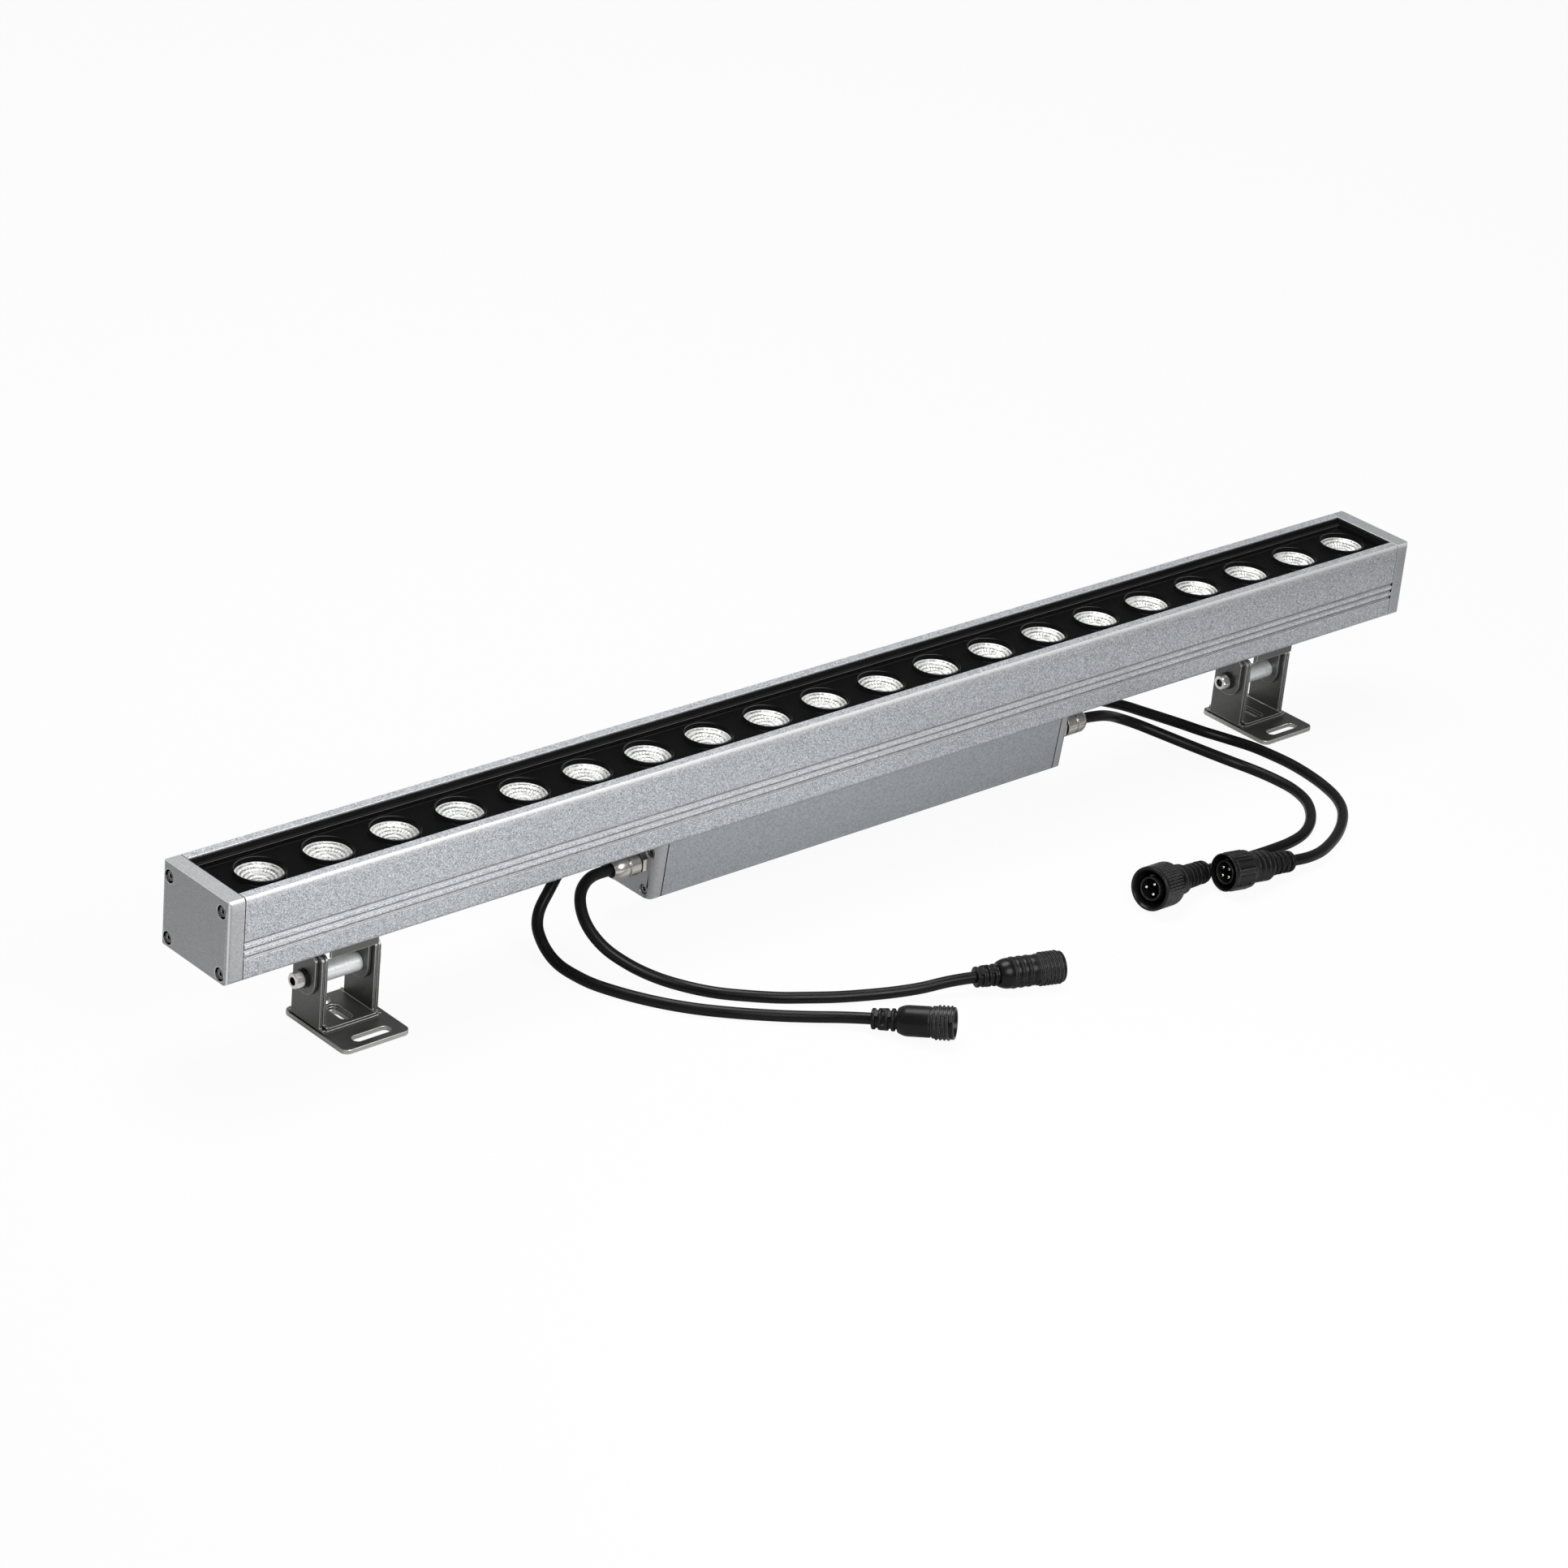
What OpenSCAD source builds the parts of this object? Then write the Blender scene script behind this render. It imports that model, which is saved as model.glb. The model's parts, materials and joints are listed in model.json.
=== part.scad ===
// Outdoor linear wall washer: an extruded lamp body on two tilting floor brackets,
// with a driver box below it and four cables that end in screw connectors.
// Frame: x along the lamp, -y to the front, z up, z = 0 under the base plates.

/* [Lamp housing] */
// Length of the lamp over its two end caps
lamp_len = 1000; // [900:1:1300]
// Width of the lamp housing
body_w = 65; // [62:0.5:75]
// Height of the lamp housing
body_h = 54; // [50:0.5:65]
// Thickness of the side and bottom walls
wall_t = 3; // [2.4:0.1:4]
// Width of the opening that holds the glass
window_w = 50; // [48:0.5:53]
// Width of the bright edge along the rim
rim_edge_w = 1.2; // [0.6:0.1:2]
// Height of the bright edge along the rim
rim_edge_h = 2.3; // [1:0.1:3]
// Radius of the two bottom edges
foot_r = 3.5; // [3.4:0.1:6]
// Depth from the rim to the web that carries the LED board
web_drop = 24; // [22:0.5:26]
// Thickness of the web
web_t = 3; // [2:0.1:4]
// Width of the shelf under the edge of the glass
shelf_w = 2; // [1.6:0.1:2.1]
// Thickness of the ledge under the lens panel
ledge_t = 2; // [1.5:0.1:3]
// Width of the ledge under the lens panel
ledge_w = 2.5; // [1.5:0.1:3]
// Depth from the rim to the first side groove
groove_drop = 28; // [26:0.5:32]
// Distance from one side groove to the next
groove_pitch = 4.75; // [4:0.05:5.5]
// Height of one side groove
groove_h = 2.3; // [1.5:0.1:3]
// Depth of the side grooves
groove_d = 1.2; // [0.6:0.1:1.6]
// Number of side grooves
groove_count = 3; // [1:1:3]
// Diameter of the wire holes between the lamp and the driver box
wire_hole_d = 10; // [8:0.5:14]

/* [End caps] */
// Thickness of an end cap
end_cap_t = 11.4; // [8:0.1:14]
// Thickness of the gasket behind an end cap
gasket_t = 0.6; // [0.4:0.1:1.5]
// How far the gasket edge lies behind the surface
gasket_inset = 0.5; // [0.2:0.1:1]
// Radius of the upright corners of an end cap
end_cap_r = 3.5; // [2:0.5:6]
// Distance of the cap screws from the middle plane
cap_screw_y = 25.5; // [24:0.5:26.5]
// Depth of the upper cap screws below the rim
cap_screw_drop = 8.5; // [8:0.5:10]
// Height of the lower cap screws above the underside
cap_screw_rise = 5.5; // [5.2:0.1:6]
// Diameter of the screw channels inside the housing
screw_port_d = 6.4; // [5:0.1:7]

/* [Screws] */
// Thread diameter of the cap screws
cap_screw_d = 3; // [2.5:0.1:3.5]
// Head diameter of the cap screws
cap_head_d = 5.5; // [5:0.1:6]
// Head diameter of the end cap screws
end_head_d = 6.4; // [6:0.1:7]
// Head height of the cap screws
cap_head_h = 3; // [2:0.1:3.4]
// Shank length of the cap screws
cap_screw_len = 18; // [16:1:30]
// Diameter of the recess for a cap screw head
cap_recess_d = 6.6; // [6.2:0.1:7]
// Diameter of the recess around a screw head in an end cap
end_recess_d = 8.4; // [7.4:0.1:9]
// Depth of the recess for a cap screw head
cap_recess_h = 4; // [3.5:0.1:5]
// Thread diameter of the screws that hold the driver box and the tilt brackets
mount_screw_d = 4; // [3:0.5:5]
// Head diameter of those screws
mount_head_d = 7; // [6.5:0.1:8]
// Head height of those screws
mount_head_h = 2.4; // [2:0.1:3]
// Radial clearance of a screw in its hole
screw_clear = 0.05; // [0.03:0.01:0.1]

/* [Glass and optics] */
// Depth of the glass below the rim
glass_drop = 1; // [0.5:0.1:1.5]
// Thickness of the glass
glass_t = 3; // [2:0.5:4]
// Thickness of the seal under the glass
seal_t = 0.4; // [0.3:0.1:1]
// Thickness of the seal around the glass
seal_side = 0.8; // [0.5:0.1:1.5]
// Thickness of the black lens panel
panel_t = 2; // [1.5:0.1:2.5]
// Gap around the lens panel
panel_gap = 0.2; // [0.1:0.05:0.4]
// Thickness of the raised edge of the lens panel
panel_edge_t = 1.3; // [1.2:0.1:2]
// Height of the collar that stands round each lens
collar_h = 3.4; // [3:0.1:5]
// Outer diameter of a collar
collar_d = 32; // [31.6:0.1:34]
// Bore of a collar
collar_bore = 30; // [29.8:0.1:30.4]
// Distance from one lens to the next
lens_pitch = 48.5; // [40:0.1:60]
// Least distance from the left end of the housing to the first collar
lens_left_margin = 16.5; // [5:0.5:30]
// Least distance from the last collar to the right end of the housing
lens_right_margin = 4; // [2:0.5:30]
// Diameter of a lens
lens_d = 29.4; // [26:0.1:29.6]
// Diameter of a lens at its foot
lens_foot_d = 12; // [10:0.5:16]
// Thickness of the rim of a lens
lens_rim_t = 2.2; // [1.5:0.1:3]
// Depth of the lens rim below the rim of its collar
lens_sink = 3.2; // [1:0.1:3.4]
// Depth of the stepped bowl in the face of a lens
lens_bowl_h = 5.8; // [4.5:0.1:7]
// Diameter of the dome in the middle of the bowl
lens_dome_d = 8.4; // [7:0.1:10]
// Width of the LED board
board_w = 40; // [34:1:44]
// Thickness of the circuit boards
board_t = 1.6; // [1:0.1:2]
// Gap from the LED board to the ends of the housing
board_gap = 5; // [1:0.5:10]
// Side of an LED chip
chip_w = 3.5; // [2.5:0.1:4]
// Height of an LED chip
chip_h = 1.1; // [0.6:0.1:1.6]

/* [Driver box] */
// Length of the driver box between its caps
driver_len = 338; // [240:1:360]
// Place of the driver box along the lamp
driver_x = 2.5; // [-10:0.5:10]
// Depth of the driver box below the housing
driver_h = 39.5; // [38:0.5:44]
// Width of the driver box at the housing
driver_top_w = 58; // [54:0.5:60]
// Width of the driver box at its underside
driver_low_w = 50.6; // [48:0.2:54]
// Wall thickness of the driver box
driver_wall = 2.5; // [2:0.1:3]
// Radius of the bottom edges of the driver box
driver_edge_r = 2; // [1:0.5:4]
// Thickness of a driver box cap
driver_cap_t = 9.4; // [7:0.1:12]
// Radius of the upright corners of a driver box cap
driver_cap_r = 6; // [3:0.5:8]
// Distance of the upper driver cap screws from the middle plane
driver_screw_top_y = 22.5; // [21.5:0.5:23]
// Depth of the upper driver cap screws below the housing
driver_screw_drop = 7; // [6:0.5:8]
// Distance of the lower driver cap screws from the middle plane
driver_screw_low_y = 19; // [17:0.5:20]
// Height of the lower driver cap screws above the underside
driver_screw_rise = 5.5; // [5:0.5:7]
// Height of the circuit board above the underside of the box
driver_board_rise = 10; // [9:0.5:14]
// Distance of the driver box screws from the middle of the box
driver_mount_x = 110; // [80:1:114]
// Distance of the driver box screws from the middle plane
driver_mount_y = 14; // [12:0.5:15]
// Length of the transformer on the driver board
transformer_len = 32; // [24:1:36]
// Width of the transformer
transformer_w = 26; // [20:1:30]
// Height of the transformer
transformer_h = 15; // [10:0.5:16]
// Length of the line filter on the driver board
filter_len = 26; // [18:1:30]
// Width of the line filter
filter_w = 22; // [16:1:28]
// Height of the line filter
filter_h = 13; // [8:0.5:16]
// Diameter of the large capacitors
big_cap_d = 9.6; // [8:0.1:10]
// Height of the large capacitors
big_cap_h = 15; // [10:0.5:16]
// Diameter of the small capacitors
small_cap_d = 7.6; // [5:0.1:8]
// Height of the small capacitors
small_cap_h = 12; // [8:0.5:14]
// Width of a power transistor
switch_w = 6; // [4:0.5:8]
// Thickness of a power transistor
switch_t = 3; // [2:0.5:4]
// Height of a power transistor
switch_h = 10; // [6:0.5:12]
// Distance from one small component to the next
component_pitch = 11; // [10.5:0.5:13]
// Diameter of the leads from the driver board to the LED board
lead_d = 2.2; // [1.4:0.1:2.6]
// Distance of those leads from the middle plane
lead_y = 2.5; // [1.5:0.1:3.5]

/* [Cable glands] */
// Distance between the two glands of one cap
gland_pitch = 30; // [24:0.5:31]
// Height of the glands above the underside of the driver box
gland_rise = 24; // [20:0.5:25]
// Width over the flats of a gland
gland_af = 14; // [13:0.1:14.4]
// Thread diameter of a gland
gland_thread_d = 11.8; // [10:0.1:12]
// Length of a gland outside the cap
gland_len = 24.5; // [22:0.5:30]
// Thickness of the hexagonal flange of a gland
gland_flange_t = 4; // [3:0.1:5]
// Thickness of the black ring between flange and nut
gland_ring_t = 1.5; // [1:0.1:2.5]
// Diameter of the dome nut
gland_nut_d = 15.6; // [14:0.1:16]
// Diameter of the mouth of the dome nut
gland_mouth_d = 10.5; // [9.5:0.1:12]
// Radial clearance between the parts of a gland
gland_clear = 0.1; // [0.05:0.01:0.2]

/* [Tilt brackets] */
// Distance from the middle of a base plate to the end of the lamp
bracket_inset = 107; // [60:1:180]
// Height of the pivot axis above the ground
pivot_h = 34.5; // [34:0.5:45]
// Height of the housing above the pivot axis
tilt_rise = 32.5; // [31.5:0.5:40]
// Sheet thickness of the tilt bracket
tilt_t = 2; // [1.5:0.1:2.5]
// Width of the tilt bracket top plate along y
tilt_plate_w = 42; // [28:1:44]
// Height of the lip along the front of the tilt bracket top plate
tilt_lip = 11; // [4:0.5:12]
// Width of the legs of the tilt bracket
tilt_leg_w = 21; // [21:0.2:28]
// Width of the neck of the legs under the top plate
tilt_neck_w = 17; // [14:0.5:19]
// Height of the wide part of the legs above the axis
tilt_leg_up = 16.5; // [12:0.5:17.5]
// Depth of the legs below the axis
tilt_leg_down = 10.5; // [6.5:0.5:10.5]
// Outer bend radius of the tilt bracket
tilt_bend_r = 3; // [2.6:0.1:4]
// Distance between the two screws of a tilt bracket
tilt_screw_pitch = 18; // [14:0.5:20]
// Side clearance between the moving sheets
side_clear = 0.2; // [0.1:0.05:0.4]

/* [Floor brackets] */
// Size of the base plate along x
base_x = 49; // [47:0.5:60]
// Reach of the base plate in front of the pivot axis
base_front = 39.5; // [38:0.5:45]
// Reach of the base plate behind the pivot axis
base_back = 22; // [20:0.5:30]
// Thickness of the base plate
base_t = 3; // [2:0.5:4]
// Corner radius of the base plate
base_r = 5; // [4:0.5:10]
// Width over the outer channel
channel_w = 43; // [42:0.5:46]
// Length of the channel floors along y
channel_floor = 35; // [32:0.5:38]
// Width of the channel walls along y
channel_wall_w = 28; // [22:0.2:30]
// Height of the channel walls above the axis
channel_up = 18.5; // [12:0.5:19]
// Sheet thickness of the outer channel
channel_t = 2; // [1.5:0.1:2.2]
// Outer bend radius of the outer channel
channel_bend_r = 3; // [2.5:0.1:4]
// Corner radius of the channel walls
channel_r = 4; // [2:0.5:8]
// Sheet thickness of the inner channel
liner_t = 1.8; // [1.5:0.1:2]
// Gap between the walls of the outer and the inner channel
liner_gap = 0.6; // [0.3:0.1:0.8]
// Length of the front slot, from centre to centre of its round ends
front_slot_len = 20; // [10:0.5:24]
// Width of the front slot
front_slot_w = 7; // [5:0.5:8]
// Distance of the front slot from the front edge
front_slot_y = 9; // [7.5:0.5:10]
// Offset of the front slot from the middle of the base plate
front_slot_x = 1.5; // [0:0.5:3]
// Width of the slot in the floor of the channels
floor_slot_w = 8.5; // [6:0.5:10]
// Overall length of the slot in the floor of the channels
floor_slot_len = 19.5; // [14:0.5:20]
// Reach of the floor slot in front of the pivot axis
floor_slot_front = 14.5; // [12:0.5:15]
// Distance of the rivet behind the pivot axis
rivet_y = 11; // [11:0.5:12]
// Diameter of the rivet
rivet_d = 6; // [4:0.5:6]
// Head diameter of the rivet
rivet_head_d = 9; // [8:0.5:10]
// Head height of the rivet
rivet_head_h = 1.6; // [1:0.1:2]

/* [Pivots] */
// Diameter of the pivot bolt
bolt_d = 6; // [5:0.5:8]
// Head diameter of the pivot bolt
bolt_head_d = 10; // [9.5:0.5:12]
// Head height of the pivot bolt
bolt_head_h = 6; // [5:0.5:7]
// Width over the flats of the socket in the bolt head
bolt_socket_af = 5; // [4:0.5:5]
// Length of the bolt that stands out of the nut
bolt_end = 1.4; // [1:0.1:4]
// Outer diameter of the sleeve around the bolt
sleeve_d = 12; // [11:0.5:14]
// Running clearance around the bolt
pivot_clear = 0.08; // [0.05:0.01:0.1]
// Diameter of the flat washers
washer_d = 12; // [11:0.5:14]
// Thickness of the flat washers
washer_t = 1.2; // [1:0.1:1.6]
// Thickness of the spring washer under the bolt head
spring_washer_t = 1.1; // [0.8:0.1:1.5]
// Width over the flats of the pivot nut
pivot_nut_af = 10; // [10:0.5:13]
// Height of the pivot nut
pivot_nut_h = 6; // [5:0.5:7]

/* [Cables and connectors] */
// Diameter of the cables
cable_d = 7.3; // [6.5:0.1:7.3]
// Length of plug A from its cable end to its mouth
plug_a_len = 58; // [56:0.5:64]
// Length of plug B from its cable end to its mouth
plug_b_len = 50.8; // [49:0.2:56]
// Diameter of the plug body
plug_body_d = 19; // [17:0.5:20]
// Diameter over the thread of a plug
plug_thread_d = 21.3; // [20.5:0.1:21.3]
// Length of the thread of plug A
plug_a_thread_len = 17.5; // [14:0.5:19]
// Length of the thread of plug B
plug_b_thread_len = 13.6; // [12:0.2:15]
// Distance between the turns of the plug thread
plug_thread_pitch = 2.5; // [2.2:0.1:3]
// Diameter of the open socket in a plug
plug_socket_d = 16.4; // [16:0.1:17]
// Depth of the open socket in a plug
plug_socket_h = 12; // [10:0.5:16]
// Diameter of the rubber sleeve of a plug
plug_relief_d = 14; // [12:0.5:16]
// Length of the rubber sleeve of plug A
plug_a_relief_len = 15; // [12:0.5:16]
// Length of the rubber sleeve of plug B
plug_b_relief_len = 16; // [12:0.5:17]
// Clearance between a thread and the nut that it fits
thread_clear = 0.25; // [0.15:0.05:0.4]
// Length of the three-pin connector
three_pin_len = 60; // [58:0.5:64]
// Diameter of the coupling nut of the three-pin connector
three_pin_nut_d = 29; // [28:0.5:29]
// Length of the four-pin connector
four_pin_len = 59.4; // [56:0.2:64]
// Diameter of the coupling nut of the four-pin connector
four_pin_nut_d = 25; // [24.8:0.1:25]
// Length of the coupling nuts
coupling_nut_len = 23; // [20:0.5:25]
// Diameter of the round inner part that holds the pins
pin_tower_d = 15.8; // [15:0.1:15.9]
// Diameter of a contact pin
pin_d = 2; // [1.5:0.1:2.4]
// Length of the contact pins in front of their base
pin_len = 10; // [6:0.5:11]
// Diameter of the rubber sleeve of the three-pin connector
three_pin_relief_d = 16; // [14:0.5:18]
// Diameter of the rubber sleeve of the four-pin connector
four_pin_relief_d = 15; // [13:0.5:17]

/* [Hidden] */
$fn = 64;

body_z = pivot_h + tilt_rise;
top_z = body_z + body_h;
// The base plates and the lamp are centred on y = 0 together
axis_y = (base_front - body_w / 2) / 2;
housing_len = lamp_len - 2 * (end_cap_t + gasket_t);
inner_hw = body_w / 2 - wall_t;
shelf_z = top_z - glass_drop - glass_t - seal_t;
panel_z = shelf_z - collar_h;
ledge_z = panel_z - panel_t;
panel_hw = window_w / 2 - shelf_w - panel_gap;
web_z = top_z - web_drop;
board_top = web_z + board_t;
lens_top = shelf_z - lens_sink;
lens_h = lens_top - board_top;
lens_first = -housing_len / 2 + lens_left_margin + collar_d / 2;
lens_room = housing_len - lens_left_margin - lens_right_margin - collar_d;
lens_count = floor(lens_room / lens_pitch) + 1;
chip_recess_r = chip_w * 0.71 + 0.8;

driver_z = body_z - driver_h;
driver_top_t = 3;
driver_board_z = driver_z + driver_board_rise;
driver_board_w = driver_low_w - 2 * driver_wall;
driver_gasket_t = 0.6;
driver_half = driver_len / 2 + driver_gasket_t + driver_cap_t;
gland_z = driver_z + gland_rise;
gland_ys = [axis_y - gland_pitch / 2, axis_y + gland_pitch / 2];
gland_stub = driver_cap_t + 3;

bracket_spacing = lamp_len - 2 * bracket_inset;
bracket_left_x = -bracket_spacing / 2 - base_x / 2;
bracket_right_x = bracket_spacing / 2 - base_x / 2;
channel_hole_d = bolt_d + 2 * pivot_clear;
liner_x0 = channel_t + liner_gap;
liner_x1 = channel_w - channel_t - liner_gap;
leg_left_x1 = -side_clear;
leg_right_x1 = liner_x1 - liner_t - side_clear;
sleeve_x0 = liner_x0 + liner_t + side_clear / 2;
sleeve_x1 = leg_right_x1 - tilt_t - side_clear / 2;
head_x = leg_left_x1 - tilt_t - washer_t - spring_washer_t;
nut_x = channel_w + side_clear + washer_t;
bolt_tip_x = nut_x + pivot_nut_h + bolt_end;
floor_slot_x = channel_w / 2;

// Height of a cable's centre where it lies on the ground
lie = cable_d / 2;
cable_sides = 12;
// Left front gland to plug A
route_a = [
  [-201, -11.5, 51.5], [-218, -12.5, 51], [-231, -20, 46], [-237, -33, 36],
  [-234, -47, 25], [-224, -60, 15.5], [-211, -72, 8], [-198, -86, 4.2],
  [-186.5, -101, lie], [-173, -114, lie], [-159, -125.5, lie], [-144, -135, lie],
  [-128.5, -144, lie], [-112.5, -152, 3.9], [-96.5, -160, 4.8], [-80, -167.5, 6.4],
  [-63, -173.5, 8.6], [-46.4, -179.5, 9.5]
];
// Left rear gland to plug B
route_b = [
  [-201, 18.5, 51.5], [-209, 17.6, 50], [-219.6, 14, 44.2], [-230.4, 10, 35.6],
  [-240, 6.2, 27], [-245.7, 0.6, 20.4], [-248.3, -7.2, 14.4], [-248.8, -16, 9],
  [-247.9, -25, 5.4], [-246.2, -36, 3.9], [-243.6, -51, lie],
  [-237.5, -67, lie], [-229.5, -82.5, lie], [-220, -97, lie], [-209, -110.5, lie],
  [-197, -122.5, lie], [-184, -134, lie], [-171, -144.5, lie], [-157.5, -155.5, 4.2],
  [-144, -167.5, 5.5], [-132.5, -180.4, 7.3]
];
// Right front gland to the three-pin connector
route_c = [
  [206, -11.5, 51.5], [222, -11, 49.5], [238, -6, 43.5], [253.5, -1, 36],
  [269, -4, 29], [281.5, -15.5, 23.5], [293, -28, 18.5], [305.5, -39.5, 13],
  [318, -50.5, 7.6], [327, -64.5, 4.5], [330.5, -81, lie], [330, -98, lie],
  [324.5, -114.5, lie], [314, -128.5, lie], [300.5, -140, lie], [285, -148, lie],
  [268, -151.5, lie], [250.5, -152, lie], [233, -151.5, lie], [215, -152.2, 4.8],
  [197, -154.1, 7], [179.5, -156.5, 9.3]
];
// Right rear gland to the four-pin connector
route_d = [
  [206, 18.5, 51.5], [223, 18.5, 50.5], [240.5, 17.5, 46], [257, 15.5, 40.5],
  [273.5, 12.5, 34.5], [289.5, 9, 27.5], [305.5, 5, 20.5], [321, 0, 13.8],
  [335, -8, 8], [346.5, -21, 4.8], [353.5, -36.5, 3.9], [356.5, -53, lie],
  [357.5, -70.5, lie], [356, -88, lie], [352.5, -105, lie], [346.5, -121.5, lie],
  [337, -136, lie], [323.5, -148.5, lie], [307, -159.5, 3.8], [289.5, -168.2, 4.5],
  [273, -174.3, 5.6], [257, -176.9, 7.1], [241, -176, 8.6]
];
// Heading and rise of each connector's axis, from its cable end to its mouth
plug_a_turn = -20.7;
plug_a_lift = 1.2;
plug_b_turn = -52.4;
plug_b_lift = 7.1;
three_pin_turn = 188;
three_pin_lift = 7.2;
four_pin_turn = 175.8;
four_pin_lift = 5.8;

function last(list) = list[len(list) - 1];
function unit(v) = v / norm(v);
function heading(turn, lift) = [cos(lift) * cos(turn), cos(lift) * sin(turn), sin(lift)];
function along(p, i, first, end) =
  i == 0 ? first : i == len(p) - 1 ? end : unit(p[i + 1] - p[i - 1]);
function ring(centre, t, r, n) =
  let (side = unit(cross(t, [0, 0, 1])), up = cross(side, t))
  [for (k = [0 : n - 1]) centre + r * (cos(360 * k / n) * side + sin(360 * k / n) * up)];

// A tube swept along the points of a route, with its two end directions given
module tube(points, r, first, end) {
  n = cable_sides;
  rings = len(points);
  skin = [for (i = [0 : rings - 1]) each ring(points[i], along(points, i, first, end), r, n)];
  walls = [
    for (i = [0 : rings - 2]) for (k = [0 : n - 1])
      let (a = i * n + k, b = i * n + (k + 1) % n)
      each [[a, a + n, b + n], [a, b + n, b]]
  ];
  mouth = [for (k = [0 : n - 1]) k];
  tail = [for (k = [n - 1 : -1 : 0]) (rings - 1) * n + k];
  polyhedron(points = skin, faces = concat([mouth], [tail], walls));
}

// A rectangle from z0 to z1 with its own corner radii below and above
module rounded(w, z0, z1, r0, r1) {
  polygon([
    [-w / 2 + r0, z0], [w / 2 - r0, z0], [w / 2, z0 + r0], [w / 2, z1 - r1],
    [w / 2 - r1, z1], [-w / 2 + r1, z1], [-w / 2, z1 - r1], [-w / 2, z0 + r0]
  ]);
  for (side = [-1, 1]) {
    translate([side * (w / 2 - r0), z0 + r0]) circle(r0);
    translate([side * (w / 2 - r1), z1 - r1]) circle(r1);
  }
}

// A slot along x, its length from centre to centre
module slot_outline(length, width) {
  square([length, width], center = true);
  for (side = [-1, 1]) translate([side * length / 2, 0]) circle(width / 2);
}

// A (y, z) outline made solid from x0 to x1
module along_x(x0, x1) {
  translate([x0, axis_y, 0]) rotate([90, 0, 90]) linear_extrude(height = x1 - x0) children();
}

// A cylinder along x, from x0 to x1
module rod(x0, x1, d, fn = 64) {
  translate([x0, 0, 0]) rotate([0, 90, 0]) cylinder(h = x1 - x0, d = d, $fn = fn);
}

// A hexagonal prism along x, given by its width over the flats
module hex_rod(x0, x1, af) {
  rod(x0, x1, af / cos(30), 6);
}

// Socket head screw along x, its head on the side of +x and its seat at x = 0
module cap_screw(head_d) {
  color("dimgray") difference() {
    union() {
      rod(-cap_screw_len, 0, cap_screw_d);
      rod(0, cap_head_h, head_d);
    }
    hex_rod(cap_head_h - 1.6, cap_head_h + 1, cap_screw_d * 0.83);
  }
}

// Pan head screw along z, its seat at z = 0 and its shank upward
module mount_screw(length) {
  color("silver") difference() {
    union() {
      cylinder(h = length, d = mount_screw_d);
      translate([0, 0, -mount_head_h]) cylinder(h = mount_head_h, d = mount_head_d);
    }
    translate([0, 0, -mount_head_h - 1]) cylinder(h = 2.4, d = mount_screw_d * 0.7, $fn = 6);
  }
}

// Lamp housing

module body_outline(inset = 0) {
  hw = body_w / 2 - inset;
  r = foot_r - inset;
  z0 = body_z + inset;
  z1 = top_z - inset;
  polygon([
    [-hw + r, z0], [hw - r, z0], [hw, z0 + r], [hw, z1 - rim_edge_h],
    [hw - rim_edge_w, z1], [-hw + rim_edge_w, z1], [-hw, z1 - rim_edge_h], [-hw, z0 + r]
  ]);
  for (side = [-1, 1]) translate([side * (hw - r), z0 + r]) circle(r);
}

module at_cap_screws() {
  for (side = [-1, 1]) {
    translate([side * cap_screw_y, top_z - cap_screw_drop]) children();
    translate([side * cap_screw_y, body_z + cap_screw_rise]) children();
  }
}

module grooves() {
  for (side = [-1, 1], i = [0 : groove_count - 1]) {
    z = top_z - groove_drop - i * groove_pitch - groove_h;
    translate([side * body_w / 2 - groove_d, z]) square([2 * groove_d, groove_h]);
  }
}

module housing_section() {
  inner_r = foot_r - wall_t;
  channel_hw = window_w / 2 - shelf_w;
  difference() {
    union() {
      difference() {
        body_outline();
        translate([-inner_hw, web_z]) square([2 * inner_hw, ledge_z - ledge_t - web_z]);
        rounded(2 * inner_hw, body_z + wall_t, web_z - web_t, inner_r, 0.5);
      }
      at_cap_screws() circle(d = screw_port_d);
    }
    translate([-window_w / 2, shelf_z]) square([window_w, body_h]);
    translate([-channel_hw, ledge_z]) square([2 * channel_hw, body_h]);
    translate([-channel_hw + ledge_w, web_z + 1]) square([2 * (channel_hw - ledge_w), body_h]);
    grooves();
    at_cap_screws() circle(d = cap_screw_d + 2 * screw_clear);
  }
}

module at_driver_screws() {
  for (sx = [-1, 1], sy = [-1, 1])
    translate([driver_x + sx * driver_mount_x, axis_y + sy * driver_mount_y, 0]) children();
}

module at_tilt_screws() {
  for (x = [bracket_left_x, bracket_right_x], side = [-1, 1])
    translate([x + tilt_middle + side * tilt_screw_pitch / 2, axis_y, 0]) children();
}

module wire_hole() {
  translate([driver_x, axis_y, body_z - driver_top_t - 1])
    cylinder(h = web_z - body_z + driver_top_t + 2, d = wire_hole_d);
}

module housing() {
  color("#a8abaf") difference() {
    along_x(-housing_len / 2, housing_len / 2) housing_section();
    wire_hole();
    at_driver_screws() translate([0, 0, body_z - 1])
      cylinder(h = wall_t + 2, d = mount_screw_d + 2 * screw_clear);
    at_tilt_screws() translate([0, 0, body_z - 1])
      cylinder(h = wall_t + 2, d = mount_screw_d + 2 * screw_clear);
    at_board_screws() translate([0, 0, web_z - web_t - 1])
      cylinder(h = web_t + 2, d = cap_screw_d + 2 * screw_clear);
  }
}

// End caps

// Plan of a cap that spans x0 to x1, with its outer corners rounded
module cap_plan(x0, x1, w, r) {
  translate([x0, -w / 2]) square([x1 - x0 - r, w]);
  translate([x0, -w / 2 + r]) square([x1 - x0, w - 2 * r]);
  for (side = [-1, 1]) translate([x1 - r, side * (w / 2 - r)]) circle(r);
}

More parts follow.
